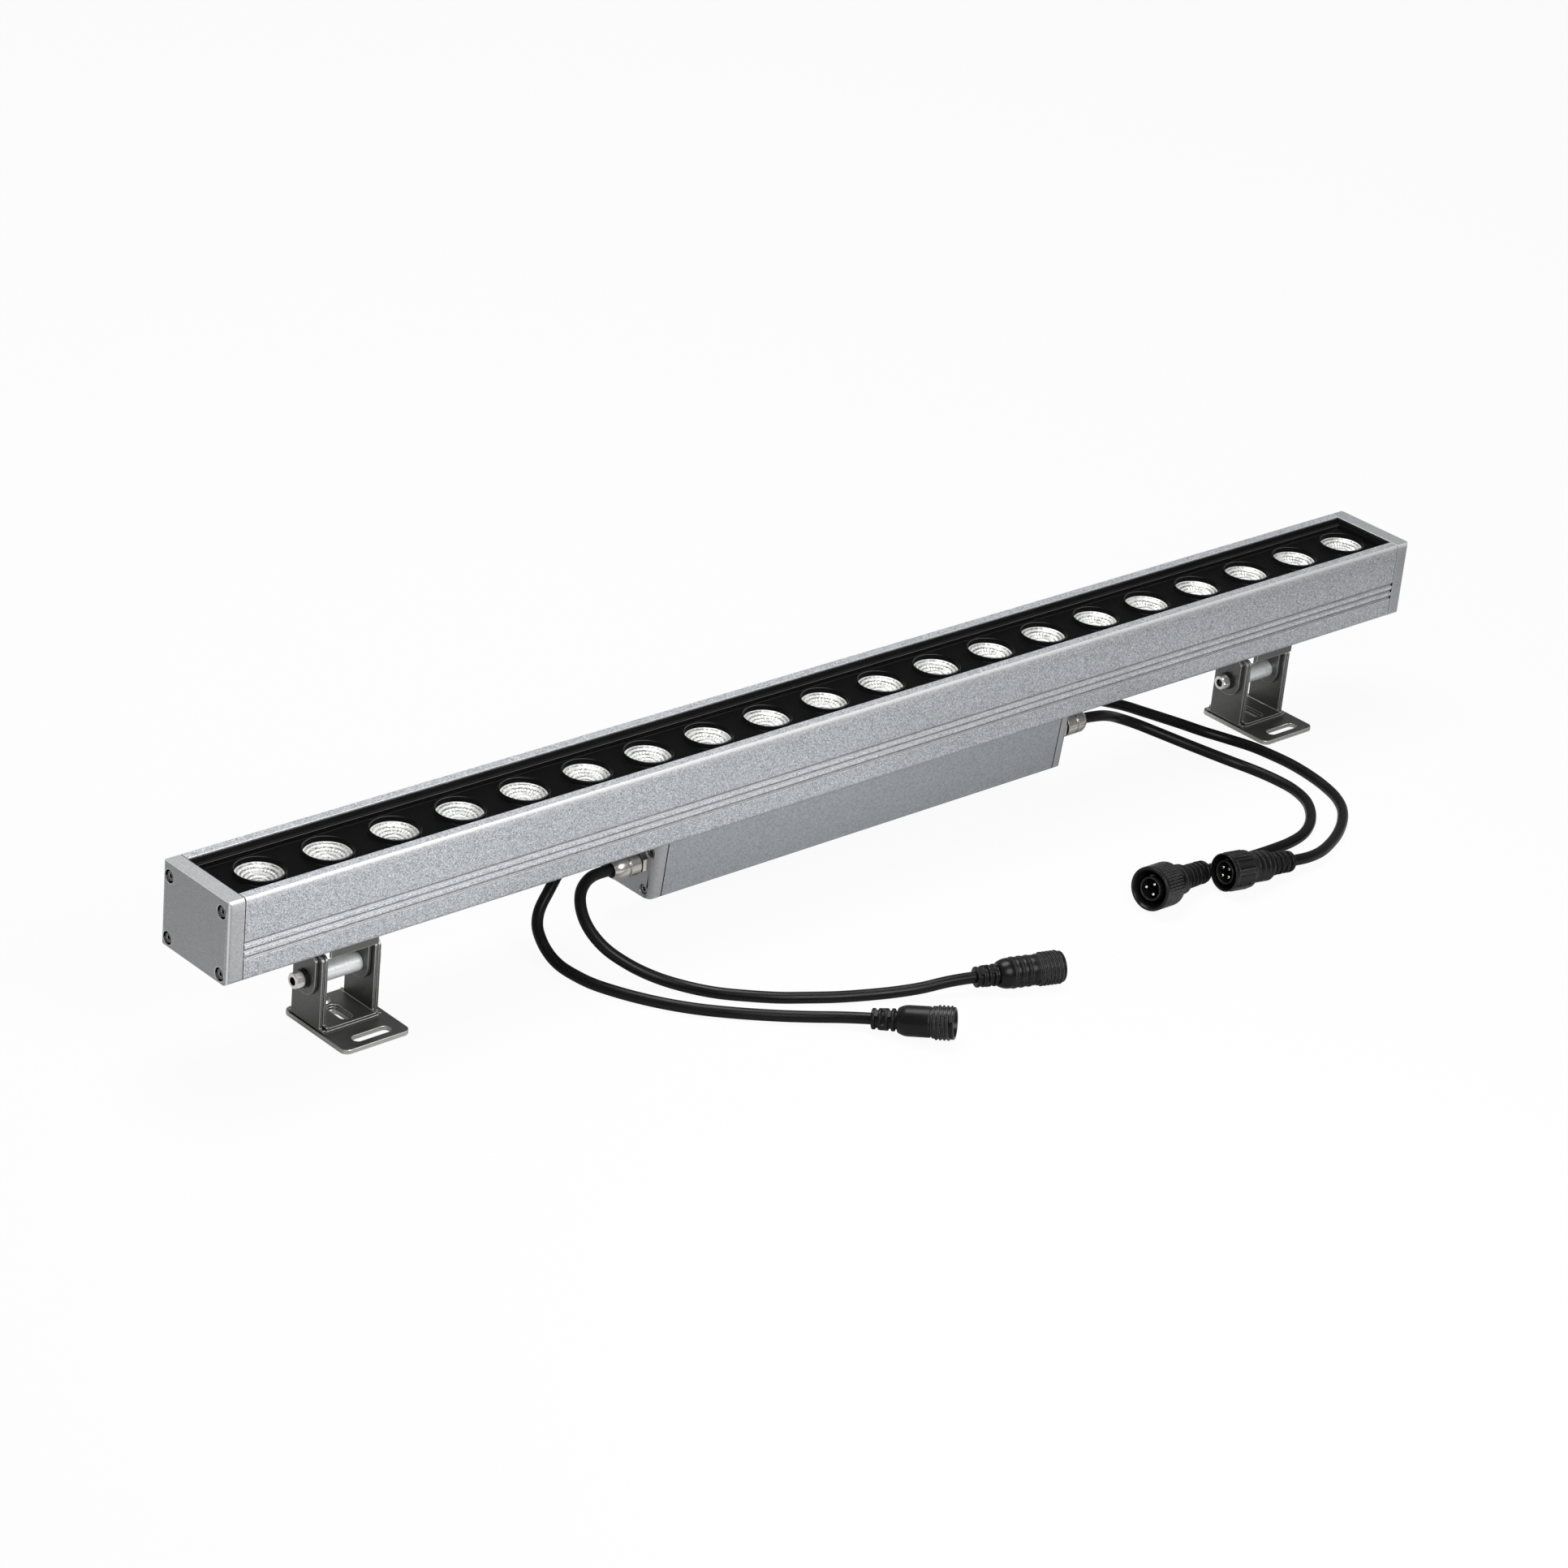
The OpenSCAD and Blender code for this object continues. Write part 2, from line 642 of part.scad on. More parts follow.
module end_cap() {
  x0 = housing_len / 2 + gasket_t;
  x1 = lamp_len / 2;
  color("#b0b2b5") difference() {
    intersection() {
      along_x(x0, x1) body_outline();
      translate([0, axis_y, body_z - 1]) linear_extrude(height = body_h + 2)
        cap_plan(x0, x1, body_w, end_cap_r);
    }
    along_x(x1 - cap_recess_h, x1 + 1) at_cap_screws() circle(d = end_recess_d);
    along_x(x0 - 1, x1) at_cap_screws() circle(d = cap_screw_d + 2 * screw_clear);
  }
}

module end_cap_right() { end_cap(); }

module end_cap_left() { mirror([1, 0, 0]) end_cap(); }

module end_gaskets() {
  color("#202020") for (side = [0, 1]) mirror([side, 0, 0])
    along_x(housing_len / 2, housing_len / 2 + gasket_t) difference() {
      body_outline(gasket_inset);
      at_cap_screws() circle(d = cap_screw_d + 2 * screw_clear);
    }
}

module end_cap_screws() {
  for (side = [0, 1]) mirror([side, 0, 0])
    for (sy = [-1, 1], z = [top_z - cap_screw_drop, body_z + cap_screw_rise])
      translate([lamp_len / 2 - cap_recess_h, axis_y + sy * cap_screw_y, z]) cap_screw(end_head_d);
}

// Glass and optics

module middle_block(length, width, z0, z1) {
  translate([-length / 2, axis_y - width / 2, z0]) cube([length, width, z1 - z0]);
}

module cover_glass() {
  color("#dfe8ea", 0.3)
    middle_block(housing_len - 2 * seal_side, window_w - 2 * seal_side,
      shelf_z + seal_t, shelf_z + seal_t + glass_t);
}

// Black gasket under and around the glass, which also holds the lens panel down
module glass_seal() {
  z0 = shelf_z;
  z1 = shelf_z + seal_t + glass_t;
  lip = panel_gap + panel_edge_t / 2;
  color("#303030") difference() {
    middle_block(housing_len, window_w, z0, z1);
    middle_block(housing_len - 2 * seal_side, window_w - 2 * seal_side, z0 + seal_t, z1 + 1);
    middle_block(housing_len - 2 * lip, window_w - 2 * (shelf_w + lip), z0 - 1, z1);
  }
}

module at_lenses() {
  for (i = [0 : lens_count - 1]) translate([lens_first + i * lens_pitch, axis_y, 0]) children();
}

module at_board_screws() {
  for (i = [1 : 4 : lens_count - 2])
    translate([lens_first + (i + 0.5) * lens_pitch, axis_y, 0]) children();
}

// Black tray with a raised edge and a collar round each lens
module lens_panel() {
  w = 2 * panel_hw;
  length = housing_len - 2 * panel_gap;
  color("#151515") difference() {
    union() {
      difference() {
        middle_block(length, w, ledge_z, shelf_z);
        middle_block(length - 2 * panel_edge_t, w - 2 * panel_edge_t, panel_z, shelf_z + 1);
      }
      at_lenses() translate([0, 0, ledge_z]) cylinder(h = shelf_z - ledge_z, d = collar_d);
    }
    at_lenses() translate([0, 0, ledge_z - 1]) cylinder(h = body_h, d = collar_bore);
  }
}

// Clear lens with a stepped bowl in its face and a dome in the middle of the bowl
module lens() {
  r = lens_d / 2;
  foot = lens_foot_d / 2;
  lip = r - 0.6;
  dome = lens_dome_d / 2;
  step_r = (lip - dome - 0.4) / 3;
  step_h = lens_bowl_h / 3;
  riser = 0.3;
  bowl = [
    for (i = [0 : 2]) each [
      [lip - i * step_r, lens_h - i * step_h - (i > 0 ? riser : 0)],
      [lip - (i + 1) * step_r + 0.1, lens_h - (i + 1) * step_h]
    ]
  ];
  floor_z = lens_h - lens_bowl_h;
  rotate_extrude() polygon(concat(
    [
      [chip_recess_r, 0], [foot, 0], [r - 1.5, lens_h - lens_rim_t], [r, lens_h - lens_rim_t],
      [r, lens_h]
    ],
    bowl,
    [
      [dome, floor_z], [dome * 0.7, floor_z + 0.8], [0, floor_z + 1.2],
      [0, chip_h + 1.4], [chip_recess_r, chip_h + 1]
    ]
  ));
}

module lenses() {
  color("#e6eef2", 0.5) at_lenses() translate([0, 0, board_top]) lens();
}

module led_board() {
  color("#e8e8e4") difference() {
    middle_block(housing_len - 2 * board_gap, board_w, web_z, board_top);
    at_board_screws() translate([0, 0, web_z - 1])
      cylinder(h = board_t + 2, d = cap_screw_d + 2 * screw_clear);
  }
}

module led_chips() {
  color("#f0dc70") at_lenses()
    translate([-chip_w / 2, -chip_w / 2, board_top]) cube([chip_w, chip_w, chip_h]);
}

module led_board_screws() {
  color("silver") at_board_screws() translate([0, 0, board_top]) difference() {
    union() {
      translate([0, 0, -board_t - web_t]) cylinder(h = board_t + web_t, d = cap_screw_d);
      cylinder(h = 1.8, d = cap_head_d);
    }
    translate([0, 0, 0.8]) cylinder(h = 2, d = cap_screw_d * 0.7, $fn = 6);
  }
}

// Driver box

// Half width of the box at a height above its underside
function driver_hw(h) = (driver_low_w + (driver_top_w - driver_low_w) * h / driver_h) / 2;

module driver_outline() {
  lean = atan((driver_top_w - driver_low_w) / 2 / driver_h);
  r = driver_edge_r;
  cy = driver_hw(r) - r / cos(lean);
  side_y = cy + r * cos(lean);
  side_z = driver_z + r - r * sin(lean);
  polygon([
    [-driver_top_w / 2, body_z], [driver_top_w / 2, body_z], [side_y, side_z],
    [cy, driver_z + r], [cy, driver_z], [-cy, driver_z], [-cy, driver_z + r], [-side_y, side_z]
  ]);
  for (side = [-1, 1]) translate([side * cy, driver_z + r]) circle(r);
}

module driver_space() {
  h0 = driver_wall;
  h1 = driver_h - driver_top_t;
  y0 = driver_hw(h0) - driver_wall;
  y1 = driver_hw(h1) - driver_wall;
  polygon([[-y0, driver_z + h0], [y0, driver_z + h0], [y1, driver_z + h1], [-y1, driver_z + h1]]);
}

module at_driver_cap_screws() {
  for (side = [-1, 1]) {
    translate([side * driver_screw_top_y, body_z - driver_screw_drop]) children();
    translate([side * driver_screw_low_y, driver_z + driver_screw_rise]) children();
  }
}

// Rails for the board, screw channels, and the ribs that tie the channels to the walls
module driver_ribs() {
  rail_t = 2;
  rail_w = 8;
  rail_y = driver_board_w / 2 - 2.5;
  rib_w = driver_top_w - 2 * driver_screw_low_y;
  for (side = [-1, 1]) {
    translate([side > 0 ? rail_y : -rail_y - rail_w, driver_board_z - rail_t])
      square([rail_w, rail_t]);
    for (z = [body_z - driver_screw_drop, driver_z + driver_screw_rise])
      translate([side * driver_top_w / 2, z]) square([rib_w, 3], center = true);
  }
  at_driver_cap_screws() circle(d = screw_port_d);
}

module driver_section() {
  difference() {
    union() {
      difference() {
        driver_outline();
        driver_space();
      }
      intersection() {
        driver_outline();
        driver_ribs();
      }
    }
    at_driver_cap_screws() circle(d = cap_screw_d + 2 * screw_clear);
  }
}

module driver_box() {
  color("#8d9298") difference() {
    along_x(driver_x - driver_len / 2, driver_x + driver_len / 2) driver_section();
    wire_hole();
    at_driver_screws() translate([0, 0, body_z - driver_top_t - 1])
      cylinder(h = driver_top_t + 2, d = mount_screw_d + 2 * screw_clear);
  }
}

// Takes an upright corner of a driver cap away, along its leaning side
module leaning_corner(x1) {
  lean = atan((driver_top_w - driver_low_w) / 2 / driver_h);
  r = driver_cap_r;
  translate([x1, axis_y + driver_top_w / 2, body_z]) rotate([-lean, 0, 0])
    translate([-r, -r, -driver_h - 5]) difference() {
      cube([r + 5, r + 5, driver_h + 10]);
      translate([0, 0, -1]) cylinder(h = driver_h + 12, r = r);
    }
}

module driver_cap() {
  x0 = driver_len / 2 + driver_gasket_t;
  x1 = driver_half;
  color("#9da1a6") difference() {
    along_x(x0, x1) driver_outline();
    leaning_corner(x1);
    translate([0, 2 * axis_y, 0]) mirror([0, 1, 0]) leaning_corner(x1);
    along_x(x1 - cap_recess_h, x1 + 1) at_driver_cap_screws() circle(d = cap_recess_d);
    along_x(x0 - 1, x1) at_driver_cap_screws() circle(d = cap_screw_d + 2 * screw_clear);
    for (y = gland_ys) translate([0, y, gland_z])
      rod(x0 - 1, x1 + 1, gland_thread_d + 2 * gland_clear);
  }
}

module driver_cap_right() { translate([driver_x, 0, 0]) driver_cap(); }

module driver_cap_left() { translate([driver_x, 0, 0]) mirror([1, 0, 0]) driver_cap(); }

module driver_gaskets() {
  color("#202020") translate([driver_x, 0, 0]) for (side = [0, 1]) mirror([side, 0, 0])
    difference() {
      along_x(driver_len / 2, driver_len / 2 + driver_gasket_t) difference() {
        driver_outline();
        driver_space();
        at_driver_cap_screws() circle(d = cap_screw_d + 2 * screw_clear);
      }
      translate([0, axis_y - driver_top_w / 2, body_z - 0.5]) cube([driver_len, driver_top_w, 1]);
    }
}

module driver_cap_screws() {
  translate([driver_x, axis_y, 0]) for (side = [0, 1]) mirror([side, 0, 0]) for (sy = [-1, 1]) {
    x = driver_half - cap_recess_h;
    translate([x, sy * driver_screw_top_y, body_z - driver_screw_drop]) cap_screw(cap_head_d);
    translate([x, sy * driver_screw_low_y, driver_z + driver_screw_rise]) cap_screw(cap_head_d);
  }
}

module driver_box_screws() {
  at_driver_screws() translate([0, 0, body_z - driver_top_t]) mount_screw(driver_top_t + wall_t + 1);
}

module driver_board() {
  end_gap = 8;
  color("#2f6b45")
    translate([driver_x - driver_len / 2 + end_gap, axis_y - driver_board_w / 2, driver_board_z])
      cube([driver_len - 2 * end_gap, driver_board_w, board_t]);
}

module driver_components() {
  board_half = driver_len / 2;
  pitch = component_pitch;
  color("#3a3a38") translate([driver_x, axis_y, driver_board_z + board_t]) {
    translate([-0.4 * board_half, -transformer_w / 2, 0])
      cube([transformer_len, transformer_w, transformer_h]);
    translate([0.2 * board_half, -filter_w / 2, 0]) cube([filter_len, filter_w, filter_h]);
    for (i = [-1.5 : 1.5])
      translate([-0.57 * board_half, i * 0.85 * pitch, 0]) cylinder(h = small_cap_h, d = small_cap_d);
    for (i = [-1 : 1])
      translate([0.45 * board_half, i * pitch, 0]) cylinder(h = big_cap_h, d = big_cap_d);
    for (i = [-2 : 2])
      translate([i * pitch, driver_board_w / 2 - 2 * switch_t - 1, 0])
        cube([switch_w, switch_t, switch_h]);
  }
}

module internal_leads() {
  z0 = driver_board_z + board_t;
  color("#b02020") for (side = [-1, 1])
    translate([driver_x, axis_y + side * lead_y, z0]) cylinder(h = web_z - z0, d = lead_d);
}

// Cable glands, each along x with its seat on the cap at x = 0

module at_glands() {
  for (side = [-1, 1], y = gland_ys)
    translate([driver_x + side * driver_half, y, gland_z]) rotate([0, 0, side > 0 ? 0 : 180]) children();
}

module cable_gland_bodies() {
  color("#c6c3b8") at_glands() difference() {
    union() {
      rod(-gland_stub, gland_len - 8, gland_thread_d);
      hex_rod(0, gland_flange_t, gland_af);
    }
    rod(-gland_stub - 1, gland_len, cable_d + 2 * gland_clear);
  }
}

module cable_gland_nuts() {
  x0 = gland_flange_t + gland_ring_t;
  bore = gland_thread_d + 2 * gland_clear;
  r = gland_nut_d / 2;
  neck = r - 0.9;
  x1 = x0 + (gland_len - x0) * 0.42;
  x2 = gland_len - 4.5;
  color("#cfccc2") at_glands() rotate([0, 90, 0]) rotate_extrude() polygon([
    [bore / 2, x0], [r, x0], [r, x1], [neck, x1], [neck, x1 + 1], [r, x1 + 1], [r, x2],
    [r - 0.8, x2 + 2], [gland_mouth_d / 2, gland_len], [cable_d / 2 + 1, gland_len],
    [cable_d / 2 + 1, gland_len - 6], [bore / 2, gland_len - 7]
  ]);
}

module cable_gland_seals() {
  color("#181818") at_glands() {
    difference() {
      rod(gland_flange_t, gland_flange_t + gland_ring_t, gland_nut_d - 1.6);
      rod(0, gland_flange_t + gland_ring_t + 1, gland_thread_d + 2 * gland_clear);
    }
    rod(gland_len - 7.5, gland_len, cable_d + 2 * (1 - gland_clear));
  }
}

// Tilt brackets under the lamp, in the frame of their base plate's left edge

tilt_middle = (leg_left_x1 - tilt_t + leg_right_x1) / 2;

module tilt_profile() {
  w = leg_right_x1 - leg_left_x1 + tilt_t;
  translate([tilt_middle, 0]) difference() {
    rounded(w, -tilt_leg_down - 1, tilt_rise, 0.5, tilt_bend_r);
    rounded(w - 2 * tilt_t, -tilt_leg_down - 3, tilt_rise - tilt_t, 0.5, tilt_bend_r - tilt_t);
  }
}

module tilt_side() {
  rounded(tilt_leg_w, -tilt_leg_down, tilt_leg_up, tilt_leg_down, 3);
  translate([-tilt_neck_w / 2, 0]) square([tilt_neck_w, tilt_rise + 1]);
  translate([-tilt_plate_w / 2, tilt_rise - tilt_bend_r]) square([tilt_plate_w, tilt_bend_r + 1]);
}

module tilt_bracket(x) {
  lip_w = leg_right_x1 - leg_left_x1 + tilt_t - 2 * tilt_bend_r;
  color("#5d5f61") translate([x, axis_y, pivot_h]) difference() {
    union() {
      intersection() {
        translate([0, tilt_plate_w / 2 + 1, 0]) rotate([90, 0, 0])
          linear_extrude(height = tilt_plate_w + 2) tilt_profile();
        translate([-20, 0, 0]) rotate([90, 0, 90]) linear_extrude(height = 80) tilt_side();
      }
      translate([tilt_middle - lip_w / 2, -tilt_plate_w / 2, tilt_rise - tilt_lip])
        cube([lip_w, tilt_t, tilt_lip]);
    }
    rod(head_x, bolt_tip_x, channel_hole_d);
    for (side = [-1, 1])
      translate([tilt_middle + side * tilt_screw_pitch / 2, 0, tilt_rise - tilt_t - 1])
        cylinder(h = tilt_t + 2, d = mount_screw_d + 2 * screw_clear);
  }
}

module tilt_bracket_left() { tilt_bracket(bracket_left_x); }

module tilt_bracket_right() { tilt_bracket(bracket_right_x); }

module tilt_bracket_screws() {
  at_tilt_screws() translate([0, 0, body_z - tilt_t]) mount_screw(tilt_t + wall_t + 1);
}

// Pivots

module pivot_bolt(x) {
  color("#e4e4e4") translate([x, axis_y, pivot_h]) difference() {
    union() {
      rod(head_x - bolt_head_h, head_x, bolt_head_d);
      rod(head_x, bolt_tip_x, bolt_d);
    }
    hex_rod(head_x - bolt_head_h - 1, head_x - bolt_head_h + 3, bolt_socket_af);
  }
}

module pivot_bolt_left() { pivot_bolt(bracket_left_x); }

module pivot_bolt_right() { pivot_bolt(bracket_right_x); }

module at_pivots() {
  for (x = [bracket_left_x, bracket_right_x]) translate([x, axis_y, pivot_h]) children();
}

module pivot_sleeves() {
  color("#b9babd") at_pivots() difference() {
    rod(sleeve_x0, sleeve_x1, sleeve_d);
    rod(sleeve_x0 - 1, sleeve_x1 + 1, bolt_d + 2 * pivot_clear);
  }
}

module pivot_washers() {
  color("#181818") at_pivots() difference() {
    union() {
      rod(head_x, head_x + spring_washer_t, bolt_head_d);
      rod(head_x + spring_washer_t, leg_left_x1 - tilt_t, washer_d);
      rod(nut_x - washer_t, nut_x, washer_d);
    }
    rod(head_x - 1, nut_x + 1, bolt_d + 2 * pivot_clear);
  }
}

module pivot_nuts() {
  color("#c8c8c8") at_pivots() difference() {
    hex_rod(nut_x, nut_x + pivot_nut_h, pivot_nut_af);
    rod(nut_x - 1, nut_x + pivot_nut_h + 1, bolt_d + 2 * screw_clear);
  }
}

// Floor brackets

module floor_slot() {
  straight = floor_slot_len - floor_slot_w;
  translate([floor_slot_x, -floor_slot_front + floor_slot_len / 2]) rotate(90)
    slot_outline(straight, floor_slot_w);
}

module rivet_hole() {
  translate([floor_slot_x, rivet_y]) circle(d = rivet_d + 2 * screw_clear);
}

module base_plate(x) {
  color("#5a5c5e") translate([x, axis_y, 0]) linear_extrude(height = base_t) difference() {
    translate([base_x / 2, 0]) rounded(base_x, -base_front, base_back, base_r, base_r);
    translate([base_x / 2 + front_slot_x, -base_front + front_slot_y])
      slot_outline(front_slot_len, front_slot_w);
    floor_slot();
    rivet_hole();
  }
}

// A channel of bent sheet with its floor at z0, between the walls x0 and x1
module channel(x0, x1, z0, t, bend_r) {
  top = pivot_h + channel_up;
  w = x1 - x0;
  difference() {
    intersection() {
      translate([(x0 + x1) / 2, channel_floor / 2 + 1, 0]) rotate([90, 0, 0])
        linear_extrude(height = channel_floor + 2) difference() {
          rounded(w, z0, top + 1, bend_r, 0.5);
          rounded(w - 2 * t, z0 + t, top + 9, bend_r - t, 0.5);
        }
      translate([-1, 0, 0]) rotate([90, 0, 90]) linear_extrude(height = channel_w + 2) {
        rounded(channel_wall_w, z0, top, 1, channel_r);
        translate([-channel_floor / 2, z0]) square([channel_floor, bend_r]);
      }
    }
    translate([0, 0, pivot_h]) rod(-1, channel_w + 1, channel_hole_d);
    translate([0, 0, z0 - 1]) linear_extrude(height = t + 2) {
      floor_slot();
      rivet_hole();
    }
  }
}

module outer_channel(x) {
  color("#626466") translate([x, axis_y, 0])
    channel(0, channel_w, base_t, channel_t, channel_bend_r);
}

module inner_channel(x) {
  color("#6c6e70") translate([x, axis_y, 0])
    channel(liner_x0, liner_x1, base_t + channel_t, liner_t, channel_bend_r - liner_gap);
}

module channel_rivet(x) {
  seat = base_t + channel_t + liner_t;
  color("#909294") translate([x + floor_slot_x, axis_y + rivet_y, 0]) {
    cylinder(h = seat, d = rivet_d);
    translate([0, 0, seat]) cylinder(h = rivet_head_h, d1 = rivet_head_d, d2 = rivet_head_d - 2);
  }
}

module base_plate_left() { base_plate(bracket_left_x); }

module outer_channel_left() { outer_channel(bracket_left_x); }

module inner_channel_left() { inner_channel(bracket_left_x); }

module channel_rivet_left() { channel_rivet(bracket_left_x); }

module base_plate_right() { base_plate(bracket_right_x); }

module outer_channel_right() { outer_channel(bracket_right_x); }

module inner_channel_right() { inner_channel(bracket_right_x); }

module channel_rivet_right() { channel_rivet(bracket_right_x); }

// Cables

module cable_a() {
  color("#141414") tube(route_a, cable_d / 2, [-1, 0, 0], heading(plug_a_turn, plug_a_lift));
}

module cable_b() {
  color("#141414") tube(route_b, cable_d / 2, [-1, 0, 0], heading(plug_b_turn, plug_b_lift));
}

module cable_c() {
  color("#141414") tube(route_c, cable_d / 2, [1, 0, 0], heading(three_pin_turn, three_pin_lift));
}

module cable_d_rear() {
  color("#141414") tube(route_d, cable_d / 2, [1, 0, 0], heading(four_pin_turn, four_pin_lift));
}

// Connectors, each along x with its cable end at x = 0

module placed(route, turn, lift) {
  translate(last(route)) rotate([0, -lift, turn]) children();
}

// Rubber sleeve with rings around a thinner core
module relief(length, d, rings) {
  step = length / rings;
  rod(0, length, d * 0.8);
  for (i = [0 : rings - 1]) rod(i * step, (i + 0.62) * step, d);
}

insert_t = 3;

// Plug with a thread at its mouth and rings around its body
module plug_body(length, relief_len, thread_len, rings) {
  x0 = relief_len;
  thread_x = length - thread_len;
  root_d = plug_thread_d - 1.6;
  turns = floor((thread_len - 1.5) / plug_thread_pitch);
  difference() {
    union() {
      translate([x0, 0, 0]) rotate([0, 90, 0]) cylinder(h = 6, d1 = plug_body_d - 3.5, d2 = plug_body_d);
      rod(x0 + 6, thread_x, plug_body_d);
      for (i = [0 : 1 : rings - 1]) rod(x0 + 9 + 5 * i, x0 + 11 + 5 * i, plug_body_d + 0.8);
      rod(thread_x, length, root_d);
      for (i = [0 : turns - 1])
        translate([thread_x + 1.5 + i * plug_thread_pitch, 0, 0]) rod(0, 1.3, plug_thread_d);
    }
    rod(length - plug_socket_h - insert_t, length + 1, plug_socket_d);
  }
}

module plug_insert(length, count) {
  x1 = length - plug_socket_h;
  rod(x1 - insert_t, x1, plug_socket_d - 2 * screw_clear);
  for (k = [0 : count - 1]) rotate([360 * k / count + 45, 0, 0]) translate([0, 3.9, 0])
    difference() {
      rod(x1, x1 + plug_socket_h / 2, pin_d + 1.6);
      rod(x1 + 1, length, pin_d + 0.2);
    }
}

module plug_a_body() {
  color("#1a1a1a") placed(route_a, plug_a_turn, plug_a_lift)
    plug_body(plug_a_len, plug_a_relief_len, plug_a_thread_len, 3);
}

module plug_a_relief() {
  color("#222222") placed(route_a, plug_a_turn, plug_a_lift)
    relief(plug_a_relief_len, plug_relief_d, 4);
}

module plug_a_insert() {
  color("#101010") placed(route_a, plug_a_turn, plug_a_lift) plug_insert(plug_a_len, 4);
}

module plug_b_body() {
  color("#1a1a1a") placed(route_b, plug_b_turn, plug_b_lift)
    plug_body(plug_b_len, plug_b_relief_len, plug_b_thread_len, 0);
}

module plug_b_relief() {
  color("#222222") placed(route_b, plug_b_turn, plug_b_lift)
    relief(plug_b_relief_len, plug_relief_d, 4);
}

module plug_b_insert() {
  color("#101010") placed(route_b, plug_b_turn, plug_b_lift) plug_insert(plug_b_len, 3);
}

// Connector with a loose coupling nut, measured back from its mouth
nut_bore = plug_thread_d + 2 * thread_clear;
collar_t = 2.5;
shoulder_t = 3;

module pin_connector_body(length, relief_len, body_d) {
  back = length - coupling_nut_len;
  neck_d = body_d - 3;
  collar_x = back + shoulder_t + side_clear;
  difference() {
    union() {
      rod(relief_len, back - side_clear, body_d);
      rod(back - 1, collar_x, neck_d);
      rod(collar_x, collar_x + collar_t, nut_bore - 1);
      rod(collar_x, length - 0.8, pin_tower_d);
    }
    rod(length - 0.8 - pin_len - 1, length + 1, pin_tower_d - 2.4);
  }
}

module pin_connector_contacts(length, count, turn) {
  x0 = length - 0.8 - pin_len - 1;
  for (k = [0 : count - 1]) rotate([360 * k / count + turn, 0, 0]) translate([x0, 3.9, 0])
    rod(0, pin_len, pin_d);
}

// Loose nut with a row of grip ribs, or of flats, around it
module coupling_nut(length, d, body_d, grips, grip_w) {
  back = length - coupling_nut_len;
  taper = 3;
  difference() {
    union() {
      translate([back, 0, 0]) rotate([0, 90, 0]) cylinder(h = taper, d1 = d - 4, d2 = d);
      rod(back + taper, length, d);
    }
    rod(back - 1, length, body_d - 3 + 2 * thread_clear);
    rod(back + shoulder_t, length + 1, nut_bore);
    for (k = [0 : grips - 1]) rotate([360 * (k + 0.5) / grips, 0, 0])
      translate([back + taper, d / 2 - 0.7, -grip_w / 2]) cube([coupling_nut_len - taper - 3, 2, grip_w]);
  }
}

three_pin_relief_len = 23;
three_pin_body_d = 20;
four_pin_relief_len = 19;
four_pin_body_d = 20;

module three_pin_body() {
  color("#1a1a1a") placed(route_c, three_pin_turn, three_pin_lift)
    pin_connector_body(three_pin_len, three_pin_relief_len, three_pin_body_d);
}

module three_pin_relief() {
  color("#222222") placed(route_c, three_pin_turn, three_pin_lift)
    relief(three_pin_relief_len, three_pin_relief_d, 5);
}

module three_pin_contacts() {
  color("#d8d2c0") placed(route_c, three_pin_turn, three_pin_lift)
    pin_connector_contacts(three_pin_len, 3, 65);
}

module three_pin_nut() {
  color("#1e1e1e") placed(route_c, three_pin_turn, three_pin_lift)
    coupling_nut(three_pin_len, three_pin_nut_d, three_pin_body_d, 24, 1.8);
}

module four_pin_body() {
  color("#1a1a1a") placed(route_d, four_pin_turn, four_pin_lift)
    pin_connector_body(four_pin_len, four_pin_relief_len, four_pin_body_d);
}

module four_pin_relief() {
  color("#222222") placed(route_d, four_pin_turn, four_pin_lift)
    relief(four_pin_relief_len, four_pin_relief_d, 4);
}

module four_pin_contacts() {
  color("#d8d2c0") placed(route_d, four_pin_turn, four_pin_lift)
    pin_connector_contacts(four_pin_len, 4, 55);
}

module four_pin_nut() {
  color("#1e1e1e") placed(route_d, four_pin_turn, four_pin_lift)
    coupling_nut(four_pin_len, four_pin_nut_d, four_pin_body_d, 8, 4.5);
}

housing();
end_cap_left();
end_cap_right();
end_gaskets();
end_cap_screws();
cover_glass();
glass_seal();
lens_panel();
lenses();
led_board();
led_chips();
led_board_screws();
driver_box();
driver_cap_left();
driver_cap_right();
driver_gaskets();
driver_cap_screws();
driver_box_screws();
driver_board();
driver_components();
internal_leads();
cable_gland_bodies();
cable_gland_seals();
cable_gland_nuts();
tilt_bracket_left();
tilt_bracket_right();
tilt_bracket_screws();
pivot_bolt_left();
pivot_bolt_right();
pivot_sleeves();
pivot_washers();
pivot_nuts();
base_plate_left();
outer_channel_left();
inner_channel_left();
channel_rivet_left();
base_plate_right();
outer_channel_right();
inner_channel_right();
channel_rivet_right();
cable_a();
cable_b();
cable_c();
cable_d_rear();
plug_a_body();
plug_a_relief();
plug_a_insert();
plug_b_body();
plug_b_relief();
plug_b_insert();
three_pin_body();
three_pin_relief();
three_pin_contacts();
three_pin_nut();
four_pin_body();
four_pin_relief();
four_pin_contacts();
four_pin_nut();
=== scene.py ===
import json
import math
from functools import partial

import bmesh
import bpy
from mathutils import Matrix, Vector

